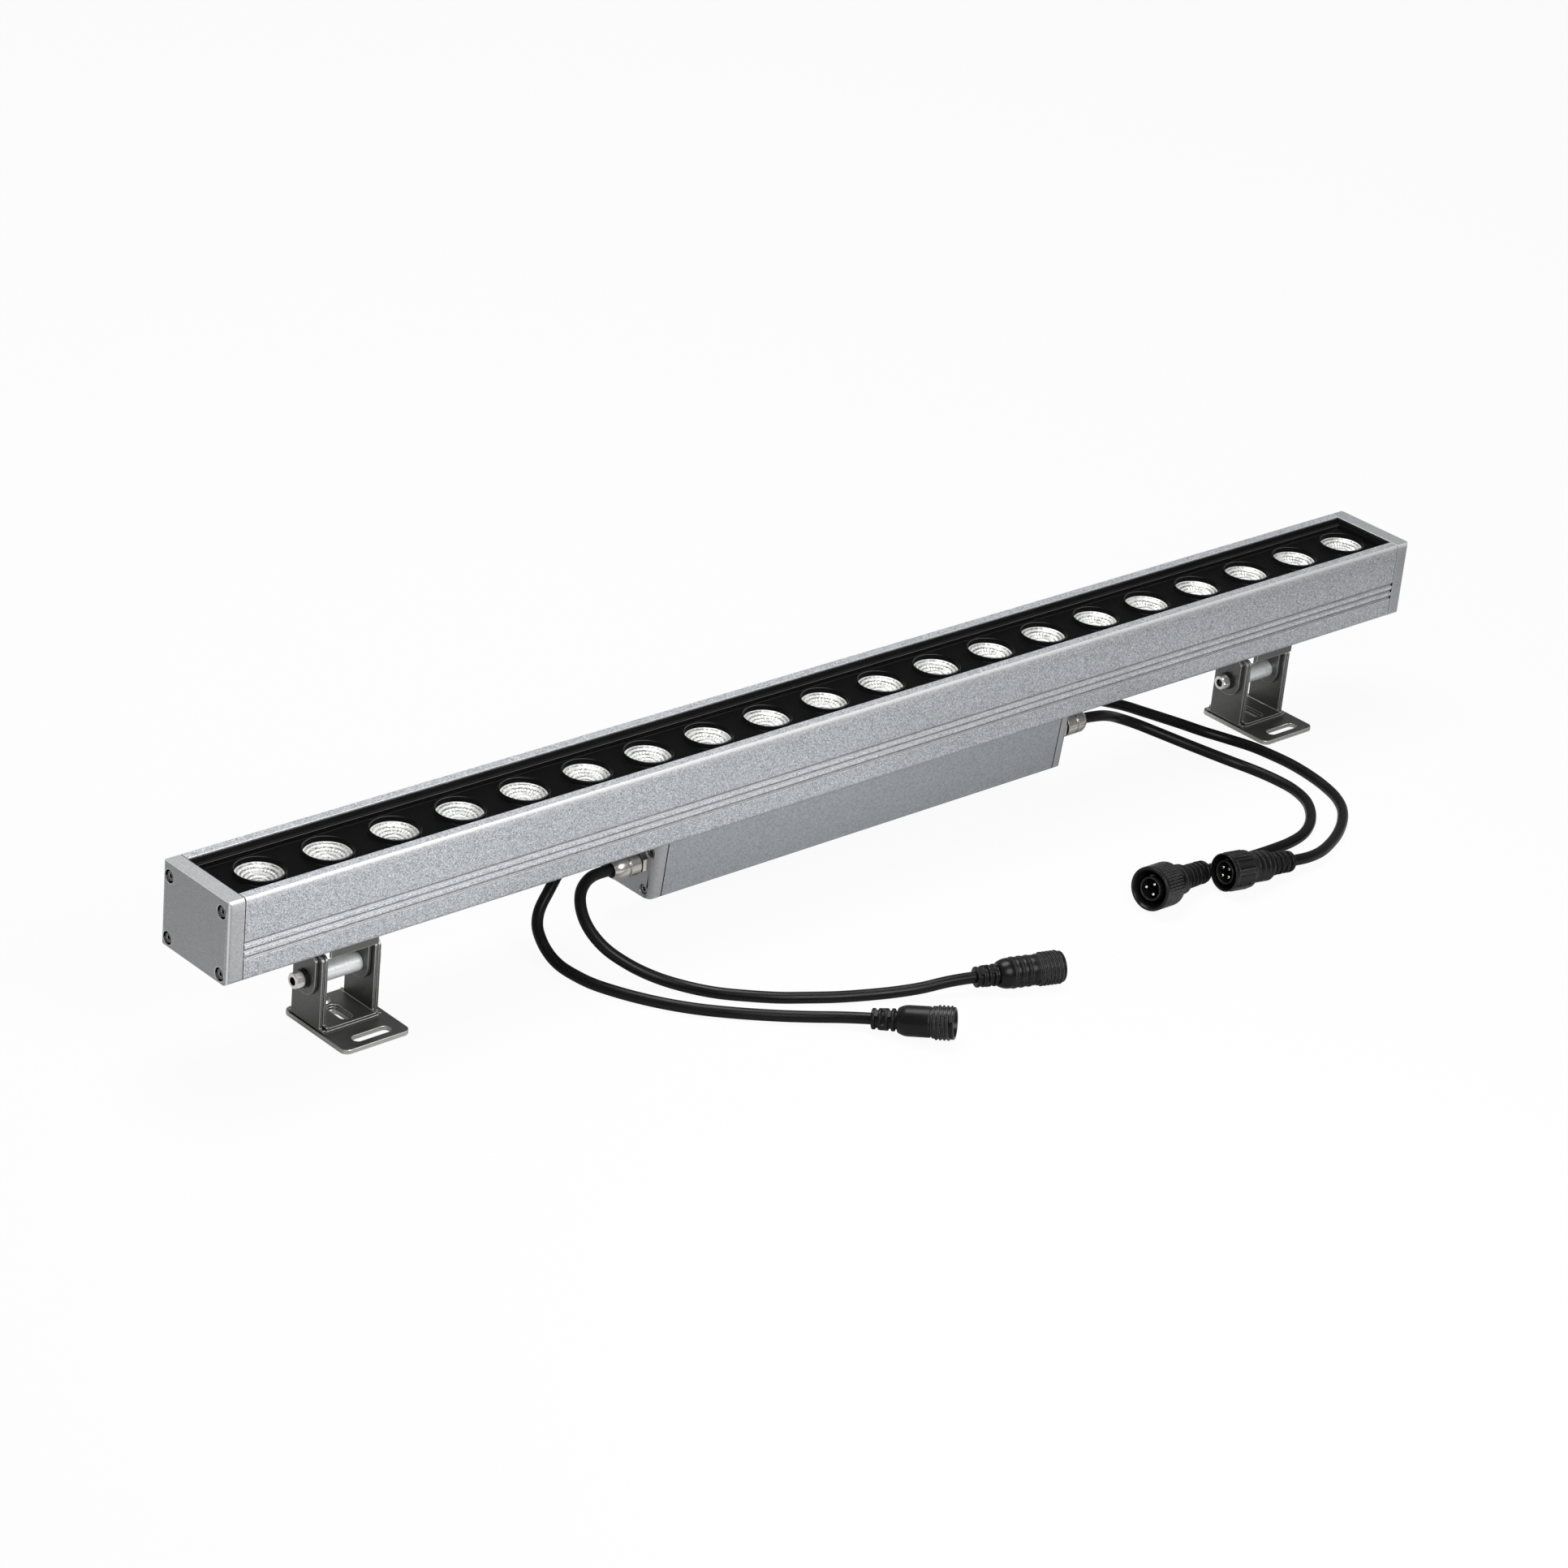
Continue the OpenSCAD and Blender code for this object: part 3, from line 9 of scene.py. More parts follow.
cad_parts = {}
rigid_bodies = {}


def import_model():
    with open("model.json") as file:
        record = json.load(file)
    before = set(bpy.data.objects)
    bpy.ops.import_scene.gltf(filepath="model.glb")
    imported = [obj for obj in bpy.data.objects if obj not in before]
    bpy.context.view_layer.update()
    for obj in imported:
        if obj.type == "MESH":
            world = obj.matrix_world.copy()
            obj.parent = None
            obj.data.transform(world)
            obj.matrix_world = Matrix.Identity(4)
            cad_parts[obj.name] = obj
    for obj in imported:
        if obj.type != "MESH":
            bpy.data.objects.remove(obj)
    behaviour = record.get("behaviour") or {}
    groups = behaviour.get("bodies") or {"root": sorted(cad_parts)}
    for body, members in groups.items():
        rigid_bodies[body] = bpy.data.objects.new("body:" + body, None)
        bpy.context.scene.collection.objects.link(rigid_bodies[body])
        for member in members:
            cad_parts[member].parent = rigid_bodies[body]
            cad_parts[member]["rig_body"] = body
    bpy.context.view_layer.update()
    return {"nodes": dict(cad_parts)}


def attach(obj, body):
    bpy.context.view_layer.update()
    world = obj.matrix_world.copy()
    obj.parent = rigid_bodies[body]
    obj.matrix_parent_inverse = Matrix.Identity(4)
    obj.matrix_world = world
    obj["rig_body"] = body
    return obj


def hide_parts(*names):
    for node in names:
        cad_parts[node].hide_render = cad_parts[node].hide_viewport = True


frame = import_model()
mm = 0.001
scene = bpy.context.scene


# Node helpers; a source is a socket or a plain value

number, tone, arrow = "NodeSocketFloat", "NodeSocketColor", "NodeSocketVector"


def feed(tree, source, entry):
    if isinstance(source, bpy.types.NodeSocket):
        tree.links.new(source, entry)
    else:
        entry.default_value = source


def addNode(tree, kind, inputs=None, **options):
    node = tree.nodes.new(kind)
    for name, value in options.items():
        setattr(node, name, value)
    for name, source in (inputs or {}).items():
        feed(tree, source, node.inputs[name])
    return node


def calc(tree, kind, first, second=0.0, clamp=False):
    return addNode(tree, "ShaderNodeMath", {0: first, 1: second}, operation=kind, use_clamp=clamp).outputs[0]


def splitAxes(tree, source):
    return addNode(tree, "ShaderNodeSeparateXYZ", {0: source}).outputs


def onPiece(tree, which):
    # the place of a point on the piece itself, or its direction
    return addNode(tree, "ShaderNodeTexCoord").outputs[which]


def noise(tree, place, scale, detail=2.0, roughness=0.5):
    inputs = {"Vector": place, "Scale": scale, "Detail": detail, "Roughness": roughness}
    return addNode(tree, "ShaderNodeTexNoise", inputs).outputs["Fac"]


def cellTones(tree, place, scale):
    # three separate tones for each cell
    cells = addNode(tree, "ShaderNodeTexVoronoi", {"Vector": place, "Scale": scale})
    return addNode(tree, "ShaderNodeSeparateColor", {0: cells.outputs["Color"]}).outputs


def dotProduct(tree, first, second):
    node = addNode(tree, "ShaderNodeVectorMath", {0: first, 1: second}, operation="DOT_PRODUCT")
    return node.outputs["Value"]


def distance(tree, first, second):
    squares = [calc(tree, "MULTIPLY", side, side) for side in (first, second)]
    return calc(tree, "SQRT", calc(tree, "ADD", *squares))


def mixColours(tree, share, first, second):
    inputs = {"Factor": share, "A": first, "B": second}
    return addNode(tree, "ShaderNodeMix", inputs, data_type="RGBA").outputs["Result"]


def scaleColour(tree, colour, gain):
    return addNode(tree, "ShaderNodeVectorMath", {0: colour, "Scale": gain}, operation="SCALE").outputs[0]


def seenPlainly(tree):
    # 1 for what the camera sees straight or through glass
    path = addNode(tree, "ShaderNodeLightPath").outputs
    return calc(tree, "MAXIMUM", path["Is Camera Ray"], path["Is Transmission Ray"])


# Scene helpers

def newObject(name, data):
    made = bpy.data.objects.new(name, data)
    scene.collection.objects.link(made)
    return made


def newMesh(name, bm):
    mesh = bpy.data.meshes.new(name)
    bm.to_mesh(mesh)
    bm.free()
    return mesh


# Camera, lights and floor

cameraView = {
    "place": (-1.89402, -1.90707, 1.37131),
    "right": (0.745611, -0.660531, 0.088107),
    "up": (0.234880, 0.384231, 0.892859),
    "forward": (0.623615, 0.645031, -0.441633),
    "sensor": 36,
    "lens": 107.74,
    "reach": (0.05, 60),
}
studio = {
    "skyFill": 0.15,  # level of the sky for everything but the camera
    "skyGlossy": 0.28,
    "floorSize": 14,
    "floorColour": (0.58, 0.58, 0.58, 1),
    "floorWhite": 0.94,  # share of plain white that the camera sees on the floor
    "softBoxes": [
        {
            "name": "keyBox", "place": (-0.26, -0.84, 0.66), "aim": (-0.22, 0, 0.08), "size": 0.6,
            "power": 8.4,
        },
        {"name": "topBox", "place": (0.1, 0.6, 2.4), "aim": (0, 0, 0.1), "size": 1.6, "power": 62},
    ],
}


def makeCamera(values):
    data = bpy.data.cameras.new("photoCamera")
    data.sensor_fit = "HORIZONTAL"
    data.sensor_width = values["sensor"]
    data.lens = values["lens"]
    data.clip_start, data.clip_end = values["reach"]
    camera = newObject("photoCamera", data)
    turn = Matrix((values["right"], values["up"], -Vector(values["forward"]))).transposed()
    camera.matrix_world = Matrix.Translation(values["place"]) @ turn.to_4x4()
    scene.camera = camera


def makeSky(values):
    world = bpy.data.worlds.new("studioSky")
    scene.world = world
    world.use_nodes = True
    tree = world.node_tree
    tree.nodes.clear()
    fill, glossy, plain = (
        addNode(tree, "ShaderNodeBackground", {"Color": (1, 1, 1, 1), "Strength": level}).outputs[0]
        for level in (values["skyFill"], values["skyGlossy"], 1)
    )
    path = addNode(tree, "ShaderNodeLightPath").outputs
    lit = addNode(tree, "ShaderNodeMixShader", {"Fac": path["Is Glossy Ray"], 1: fill, 2: glossy})
    shown = addNode(tree, "ShaderNodeMixShader", {"Fac": seenPlainly(tree), 1: lit.outputs[0], 2: plain})
    addNode(tree, "ShaderNodeOutputWorld", {"Surface": shown.outputs[0]})


def makeFloor(values):
    bm = bmesh.new()
    bmesh.ops.create_grid(bm, x_segments=1, y_segments=1, size=values["floorSize"] / 2)
    floor = newObject("studioFloor", newMesh("studioFloor", bm))
    paint = bpy.data.materials.new("paleFloor")
    paint.use_nodes = True
    tree = paint.node_tree
    tree.nodes.clear()
    matt = addNode(tree, "ShaderNodeBsdfDiffuse", {"Color": values["floorColour"]}).outputs[0]
    glow = addNode(tree, "ShaderNodeEmission", {"Color": (1, 1, 1, 1), "Strength": 1}).outputs[0]
    share = calc(tree, "MULTIPLY", seenPlainly(tree), values["floorWhite"])
    mix = addNode(tree, "ShaderNodeMixShader", {"Fac": share, 1: matt, 2: glow})
    addNode(tree, "ShaderNodeOutputMaterial", {"Surface": mix.outputs[0]})
    floor.data.materials.append(paint)


def makeSoftBoxes(values):
    for box in values["softBoxes"]:
        data = bpy.data.lights.new(box["name"], "AREA")
        data.shape = "DISK"
        data.size = box["size"]
        data.energy = box["power"]
        lamp = newObject(box["name"], data)
        lamp.location = box["place"]
        lamp.visible_camera = False
        aim = Vector(box["aim"]) - Vector(box["place"])
        lamp.rotation_euler = aim.to_track_quat("-Z", "Y").to_euler()


makeCamera(cameraView)
makeSky(studio)
makeFloor(studio)
makeSoftBoxes(studio)
scene.view_settings.view_transform = "Standard"
print("studio: camera, sky, floor and soft boxes")


# Mesh helpers; new shapes are worked in millimetres and scaled once at the end

def turnLine(bm, line, steps):
    # an (x, radius) line turned about the x axis
    points = [bm.verts.new((x, 0, r)) for x, r in line]
    edges = [bm.edges.new(pair) for pair in zip(points, points[1:])]
    bmesh.ops.spin(
        bm, geom=points + edges, cent=(0, 0, 0), axis=(1, 0, 0), dvec=(0, 0, 0),
        angle=math.tau, steps=steps, use_merge=True, use_duplicate=False,
    )


def turnThread(bm, start, pitch, turns, root, crest, width, steps=40):
    # a helical ridge about the x axis
    tooth = [(0, root), (width, root), (width * 0.7, crest), (width * 0.3, crest)]
    points = [bm.verts.new((start + x, 0, r)) for x, r in tooth]
    face = bm.faces.new(points)
    count = int(steps * turns)
    bmesh.ops.spin(
        bm, geom=points + list(face.edges) + [face], cent=(0, 0, 0), axis=(1, 0, 0),
        dvec=(pitch * turns / count, 0, 0), angle=math.tau * turns, steps=count,
        use_merge=False, use_duplicate=False,
    )


def turnAside(bm, line, steps, ring, angle):
    # a turned line set beside the x axis
    aside = bmesh.new()
    turnLine(aside, line, steps)
    aside.transform(Matrix.Translation((0, ring * math.cos(angle), ring * math.sin(angle))))
    part = newMesh("aside", aside)
    bm.from_mesh(part)
    bpy.data.meshes.remove(part)


def addBox(bm, low, high, turn=0.0):
    # a box between two corners, turned about the x axis
    size = Vector(high) - Vector(low)
    middle = (Vector(high) + Vector(low)) / 2
    place = Matrix.Rotation(turn, 4, "X") @ Matrix.Translation(middle) @ Matrix.Diagonal((*size, 1))
    bmesh.ops.create_cube(bm, size=1, matrix=place)


def addRod(bm, x0, x1, radius, steps, centre, tip):
    # a rod along x, with a rounded far end
    place = Matrix.Translation(((x0 + x1) / 2, *centre)) @ Matrix.Rotation(math.pi / 2, 4, "Y")
    made = bmesh.ops.create_cone(
        bm, cap_ends=True, segments=steps, radius1=radius, radius2=radius, depth=x1 - x0, matrix=place,
    )["verts"]
    ends = [v for v in made if v.co.x > x1 - 1e-5]
    edges = [e for e in {e for v in ends for e in v.link_edges} if all(v in ends for v in e.verts)]
    bmesh.ops.bevel(
        bm, geom=edges, offset=tip, offset_type="OFFSET", affect="EDGES", segments=3,
        profile=0.5, material=-1,
    )


def sharpen(bm, corner=32):
    for face in bm.faces:
        face.smooth = True
    for edge in bm.edges:
        edge.smooth = len(edge.link_faces) == 2 and edge.calc_face_angle(0) < math.radians(corner)


def soften(piece, width, segments, corner):
    rounded = piece.modifiers.new("softEdges", "BEVEL")
    rounded.width = width * mm
    rounded.segments = segments
    rounded.limit_method = "ANGLE"
    rounded.angle_limit = math.radians(corner)
    rounded.harden_normals = True
    rounded.use_clamp_overlap = False


def asObject(bm, name, finish, edge, segments=2, corner=32):
    piece = newObject(name, newMesh(name, bm))
    piece.data.materials.append(finish)
    if edge:
        soften(piece, edge, segments, corner)
    return piece


def asPiece(bm, name, body, finish, place=None, edge=0.0, segments=2, corner=32):
    bmesh.ops.remove_doubles(bm, verts=bm.verts, dist=1e-4)
    bmesh.ops.recalc_face_normals(bm, faces=bm.faces)
    sharpen(bm, corner)
    if place is not None:
        bm.transform(place)
    bm.transform(Matrix.Scale(mm, 4))
    piece = asObject(bm, name, finishes[finish], edge, segments, corner)
    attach(piece, body)
    return piece


def softCopy(node, name, finish, edge):
    # a merged copy of a CAD node with slightly rounded edges, which stands for it
    bm = bmesh.new()
    bm.from_mesh(frame["nodes"][node].data)
    bmesh.ops.remove_doubles(bm, verts=bm.verts, dist=1e-6)
    bmesh.ops.dissolve_limit(
        bm, angle_limit=math.radians(0.6), use_dissolve_boundaries=False,
        verts=bm.verts, edges=bm.edges, delimit={"NORMAL"},
    )
    sharpen(bm)
    piece = asObject(bm, name, finishes[finish], edge)
    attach(piece, frame["nodes"][node]["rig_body"])
    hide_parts(node)
    return piece


# Shader groups; sizes are in metres on the piece itself

def startGroup(name, inputs, outputs):
    # a node group with inputs {name: (kind, value)} and outputs {name: kind}, given back with its own
    # calc, the sockets that its inputs feed from and those that its outputs take
    tree = bpy.data.node_groups.new(name, "ShaderNodeTree")
    for label, (kind, value) in inputs.items():
        tree.interface.new_socket(name=label, in_out="INPUT", socket_type=kind).default_value = value
    for label, kind in outputs.items():
        tree.interface.new_socket(name=label, in_out="OUTPUT", socket_type=kind)
    enter = tree.nodes.new("NodeGroupInput").outputs if inputs else None
    return tree, partial(calc, tree), enter, tree.nodes.new("NodeGroupOutput").inputs


grainForm = {
    "detail": 2.5, "roughness": 0.65, "spread": 4.0, "fleckFrom": 0.86, "cloudScale": 4, "cloudShare": 0.03,
    "glossShare": 0.06,
}


def makeGrainGroup(v):
    # blasted and sparkling metal: a colour that varies from grain to grain, with its height and gloss
    tree, do, given, leave = startGroup("blastedGrain", {
        "Colour": (tone, (0.5, 0.5, 0.5, 1)), "Grain Scale": (number, 900.0), "Contrast": (number, 0.2),
        "Flecks": (number, 0.2), "Roughness": (number, 0.4),
    }, {"Colour": tone, "Roughness": number, "Height": number})
    place = onPiece(tree, "Object")
    grain = noise(tree, place, given["Grain Scale"], v["detail"], v["roughness"])
    cell = cellTones(tree, place, given["Grain Scale"])
    cloud = noise(tree, place, v["cloudScale"])
    spread = do("MULTIPLY", do("SUBTRACT", grain, 0.5), v["spread"])
    both = do("ADD", spread, do("SUBTRACT", cell[0], 0.5))
    both = do("MULTIPLY", both, given["Contrast"])
    fleck = do("MULTIPLY", do("GREATER_THAN", cell[1], v["fleckFrom"]), given["Flecks"])
    slow = do("MULTIPLY", do("SUBTRACT", cloud, 0.5), v["cloudShare"])
    gain = do("ADD", do("ADD", do("ADD", both, fleck), slow), 1.0)
    rough = do("MULTIPLY", spread, v["glossShare"])
    rough = do("ADD", do("ADD", rough, given["Roughness"]), slow)
    feed(tree, scaleColour(tree, given["Colour"], gain), leave["Colour"])
    feed(tree, rough, leave["Roughness"])
    feed(tree, grain, leave["Height"])
    return tree


# edges: partly real wear, partly a painted highlight where light would catch them
wearAndHighlightForm = {"bend": 9.0, "patchScale": 420, "patchDetail": 3}


def makeWearAndHighlightGroup(v):
    # a mask that is 1 along edges: wear in patches, and a painted highlight along those edges
    tree, do, given, leave = startGroup(
        "edgeWearAndHighlight", {"Width": (number, 0.0005), "Amount": (number, 0.5)}, {"Mask": number},
    )
    place = onPiece(tree, "Object")
    rounded = addNode(tree, "ShaderNodeBevel", {"Radius": given["Width"]}, samples=4).outputs[0]
    facing = addNode(tree, "ShaderNodeNewGeometry").outputs["Normal"]
    bent = do("MULTIPLY", do("SUBTRACT", 1.0, dotProduct(tree, rounded, facing)), v["bend"])
    wornAndLit = do("MULTIPLY", bent, noise(tree, place, v["patchScale"], v["patchDetail"]))
    wornAndLit = do("MINIMUM", do("MULTIPLY", wornAndLit, given["Amount"]), 1.0)
    feed(tree, wornAndLit, leave["Mask"])
    return tree


rimForm = {"least": 0.2, "gain": 6.0, "uprightLeast": 0.46, "uprightGain": 25.0, "gate": 4.0}


def makeRimGroup(v):
    # a mask for painted highlights on chamfers and rounded edges: long ones that face a side, and those at
    # the ends
    tree, do, given, leave = startGroup("litRims", {
        "Towards": (arrow, (0, 0, 1)), "Offset": (number, 0.6), "Ends": (number, 1.0),
    }, {"Mask": number})
    facing = onPiece(tree, "Normal")
    x, y, z = splitAxes(tree, facing)

    def slope(first, second, least, gain):
        both = do("ABSOLUTE", do("MULTIPLY", first, second))
        return do("MULTIPLY", do("SUBTRACT", both, least), gain, True)

    gate = do("MULTIPLY", dotProduct(tree, facing, given["Towards"]), v["gate"])
    gate = do("ADD", gate, given["Offset"], True)
    along = do("MULTIPLY", slope(y, z, v["least"], v["gain"]), gate)
    upright = slope(x, y, v["uprightLeast"], v["uprightGain"])
    ends = do("ADD", slope(x, z, v["least"], v["gain"]), upright, True)
    ends = do("MULTIPLY", ends, given["Ends"])
    feed(tree, do("ADD", along, ends, True), leave["Mask"])
    return tree


grooveForm = {
    "y": 0.0035, "half": 0.0323, "top": 0.09305, "pitch": 0.00475, "count": 2.48, "dark": 0.2,
    "lighten": 1.4, "bright": 2.0, "wallFrom": 0.6, "rib": 1.25,
}


def makeGrooveGroup(v):
    # painted shade and highlight in the side grooves: painted shade under the upper edge, painted highlight
    # on the lower wall and the ribs
    tree, do, _, leave = startGroup("grooveShade", {}, {"Gain": number})
    y, z = splitAxes(tree, onPiece(tree, "Object"))[1:]
    inside = do("LESS_THAN", do("ABSOLUTE", do("SUBTRACT", y, v["y"])), v["half"])
    drop = do("DIVIDE", do("SUBTRACT", v["top"], z), v["pitch"])
    zone = do("MULTIPLY", do("GREATER_THAN", drop, 0.0), do("LESS_THAN", drop, v["count"]))
    deep = do("ADD", do("MULTIPLY", do("FRACT", drop), v["lighten"]), v["dark"] - 1)
    wall = do("GREATER_THAN", splitAxes(tree, onPiece(tree, "Normal"))[2], v["wallFrom"])
    lift = do("MULTIPLY", do("SUBTRACT", v["bright"] - 1, deep), wall)
    gain = do("MULTIPLY", do("ADD", deep, lift), inside)
    rib = do("MULTIPLY", do("SUBTRACT", 1.0, inside), v["rib"] - 1)
    gain = do("MULTIPLY", do("ADD", gain, rib), zone)
    feed(tree, do("ADD", gain, 1.0), leave["Gain"])
    return tree


recessForm = {
    "y": 0.0035, "aside": 0.0255, "middle": 0.0925, "apart": 0.02, "hole": 0.0043, "ring": 0.0047,
    "face": 0.49945, "dark": 0.04, "ringShare": 0.5,
}


def makeRecessGroup(v):
    # the gain of the screw recesses in the end caps: painted shade, black inside, with a painted highlight
    # ring about the mouth
    tree, do, _, leave = startGroup("recessShade", {}, {"Gain": number, "Ring": number})
    x, y, z = splitAxes(tree, onPiece(tree, "Object"))
    across = do("SUBTRACT", do("ABSOLUTE", do("SUBTRACT", y, v["y"])), v["aside"])
    height = do("SUBTRACT", do("ABSOLUTE", do("SUBTRACT", z, v["middle"])), v["apart"])
    far = distance(tree, across, height)
    sunk = do("LESS_THAN", do("ABSOLUTE", x), v["face"])
    hole = do("MULTIPLY", sunk, do("LESS_THAN", far, v["hole"]))
    ring = do("SUBTRACT", do("LESS_THAN", far, v["ring"]), hole, True)
    feed(tree, do("ADD", do("MULTIPLY", hole, v["dark"] - 1), 1.0), leave["Gain"])
    feed(tree, do("MULTIPLY", ring, v["ringShare"]), leave["Ring"])
    return tree


socketForm = {"y": 0.0035, "z": 0.0345, "radius": 0.00292, "dark": 0.08}


def makeSocketGroup(v):
    # the gain of a pivot bolt: painted shade inside its socket
    tree, do, _, leave = startGroup("socketShade", {}, {"Gain": number})
    y, z = splitAxes(tree, onPiece(tree, "Object"))[1:]
    far = distance(tree, do("SUBTRACT", y, v["y"]), do("SUBTRACT", z, v["z"]))
    inside = do("MULTIPLY", do("LESS_THAN", far, v["radius"]), v["dark"] - 1)
    feed(tree, do("ADD", inside, 1.0), leave["Gain"])
    return tree


plateForm = {"edge": 1.2, "gain": 4.5}


def makePlateGroup(v):
    # the gain of a plate: a painted highlight that makes its upright faces lighter than its flat ones
    tree, do, _, leave = startGroup("sideFaces", {}, {"Gain": number})
    flat = do("MULTIPLY", do("ABSOLUTE", splitAxes(tree, onPiece(tree, "Normal"))[2]), v["edge"])
    gain = do("MULTIPLY", do("SUBTRACT", 1.0, flat, True), v["gain"] - 1)
    feed(tree, do("ADD", gain, 1.0), leave["Gain"])
    return tree


lensForm = {
    "first": -0.4555, "pitch": 0.0485, "y": 0.0035, "ringPitch": 0.0021, "ringShift": 0.35, "ringGain": 1.2,
    "dots": 1500, "patches": 90, "patchShare": 1.6, "dotGain": 2.2, "contrast": 0.8, "dome": 0.0043,
    "outline": 0.0003, "outlineShare": 0.75, "lip": 0.0139, "lipGain": 0.1,
}


def makeLensGroup(v):
    # the gain of a lens row: dotted rings in each bowl, the outline of its dome and a painted highlight on
    # its lip
    tree, do, _, leave = startGroup("lensRings", {}, {"Gain": number})
    place = onPiece(tree, "Object")
    x, y = splitAxes(tree, place)[:2]
    across = do("FLOORED_MODULO", do("ADD", x, v["pitch"] / 2 - v["first"]), v["pitch"])
    far = distance(tree, do("SUBTRACT", across, v["pitch"] / 2), do("SUBTRACT", y, v["y"]))
    wave = do("SINE", do("MULTIPLY", far, math.tau / v["ringPitch"]))
    wave = do("MULTIPLY", do("ADD", wave, v["ringShift"]), v["ringGain"], True)
    patch = do("MULTIPLY", noise(tree, place, v["patches"]), v["patchShare"])
    dot = do("SUBTRACT", do("ADD", cellTones(tree, place, v["dots"])[0], patch), 1.0)
    dot = do("MULTIPLY", dot, v["dotGain"], True)
    dark = do("MULTIPLY", do("MULTIPLY", wave, dot), v["contrast"])
    lip = do("GREATER_THAN", far, v["lip"])
    dark = do("MULTIPLY", dark, do("SUBTRACT", 1.0, lip))
    edge = do("LESS_THAN", do("ABSOLUTE", do("SUBTRACT", far, v["dome"])), v["outline"])
    dark = do("MAXIMUM", dark, do("MULTIPLY", edge, v["outlineShare"]))
    gain = do("ADD", do("SUBTRACT", 1.0, dark), do("MULTIPLY", lip, v["lipGain"]))
    feed(tree, gain, leave["Gain"])
    return tree


skinForm = {
    "skinDetail": 3, "flowScale": 60, "flowDetail": 4, "dustFrom": 0.42, "dustColour": (0.5, 0.49, 0.47, 1),
    "glossShare": 0.35,
}


def makeSkinGroup(v):
    # moulded plastic and rubber: fine skin, faint flow and a little dust
    tree, do, given, leave = startGroup("mouldedSkin", {
        "Colour": (tone, (0.02, 0.02, 0.02, 1)), "Skin Scale": (number, 1800.0),
        "Roughness": (number, 0.4), "Dust": (number, 0.1),
    }, {"Colour": tone, "Roughness": number, "Height": number})
    place = onPiece(tree, "Object")
    skin = noise(tree, place, given["Skin Scale"], v["skinDetail"])
    flow = noise(tree, place, v["flowScale"], v["flowDetail"])
    dust = do("MAXIMUM", do("SUBTRACT", flow, v["dustFrom"]), 0.0)
    dust = do("MULTIPLY", dust, given["Dust"])
    uneven = do("MULTIPLY", do("SUBTRACT", flow, 0.5), v["glossShare"])
    feed(tree, mixColours(tree, dust, given["Colour"], v["dustColour"]), leave["Colour"])
    feed(tree, do("ADD", uneven, given["Roughness"]), leave["Roughness"])
    feed(tree, skin, leave["Height"])
    return tree


blastedGrain = makeGrainGroup(grainForm)
edgeWearAndHighlight = makeWearAndHighlightGroup(wearAndHighlightForm)
litRims = makeRimGroup(rimForm)
mouldedSkin = makeSkinGroup(skinForm)
shades = {
    "grooves": makeGrooveGroup(grooveForm), "recesses": makeRecessGroup(recessForm),
    "socket": makeSocketGroup(socketForm), "plate": makePlateGroup(plateForm),
    "lenses": makeLensGroup(lensForm),
}


# Finishes

white = (0.95, 0.95, 0.95, 1)
# the edge masks of these finishes give edges both wear and a painted highlight; the rim masks paint
# highlights on chamfers
metals = {
    "silverHousing": {
        "colour": (0.45, 0.465, 0.49), "scale": 1650, "contrast": 0.75, "flecks": 0.35, "bump": 3e-5,
        "wearAndHighlight": 1.2, "wornAndLit": white, "shade": "grooves", "rims": 0.3,
    },
    "silverCap": {
        "colour": (0.41, 0.415, 0.43), "scale": 1600, "contrast": 0.2, "flecks": 0.15, "wearAndHighlight": 1.4,
        "wornAndLit": white, "shade": "recesses", "rims": 0.8,
    },
    "driverGrey": {
        "colour": (0.33, 0.345, 0.37), "rough": 0.42, "scale": 1100, "contrast": 0.24, "flecks": 0.12,
        "bump": 4e-5, "wearAndHighlight": 0.4,
    },
    "driverCapGrey": {
        "colour": (0.36, 0.365, 0.375), "rough": 0.42, "scale": 1200, "bump": 3e-5, "wearAndHighlight": 0.5,
    },
    "bracketGrey": {
        "colour": (0.13, 0.13, 0.127), "metallic": 0.75, "rough": 0.36, "scale": 1800, "contrast": 0.16,
        "flecks": 0.12, "wearAndHighlight": 1.6, "wornAndLit": (0.8, 0.8, 0.79, 1), "width": 0.0008, "rims": 0.35,
    },
    "screwSteel": {
        "colour": (0.12, 0.12, 0.12), "metallic": 1, "rough": 0.3, "scale": 2400, "contrast": 0.06,
        "wearAndHighlight": 2.0, "wornAndLit": white,
    },
    "brightSteel": {
        "colour": (0.62, 0.62, 0.61), "metallic": 1, "rough": 0.26, "scale": 2400, "contrast": 0.05,
    },
    "polishedBolt": {
        "colour": (0.8, 0.79, 0.76), "metallic": 0.85, "rough": 0.2, "scale": 2400, "contrast": 0.04,
        "shade": "socket", "wearAndHighlight": 2.4, "wornAndLit": (1, 0.99, 0.97, 1), "width": 0.0006,
    },
    "sleeveAluminium": {
        "colour": (0.85, 0.86, 0.87), "metallic": 0.35, "rough": 0.35, "scale": 1500, "contrast": 0.14,
    },
    "glandNickel": {
        "colour": (0.58, 0.56, 0.52), "metallic": 1, "rough": 0.24, "scale": 1800, "contrast": 0.08,
    },
    "contactMetal": {
        "colour": (0.86, 0.84, 0.8), "metallic": 1, "rough": 0.2, "scale": 3000, "contrast": 0.03,
    },
}
metals["plateGrey"] = {**metals["bracketGrey"], "shade": "plate"}
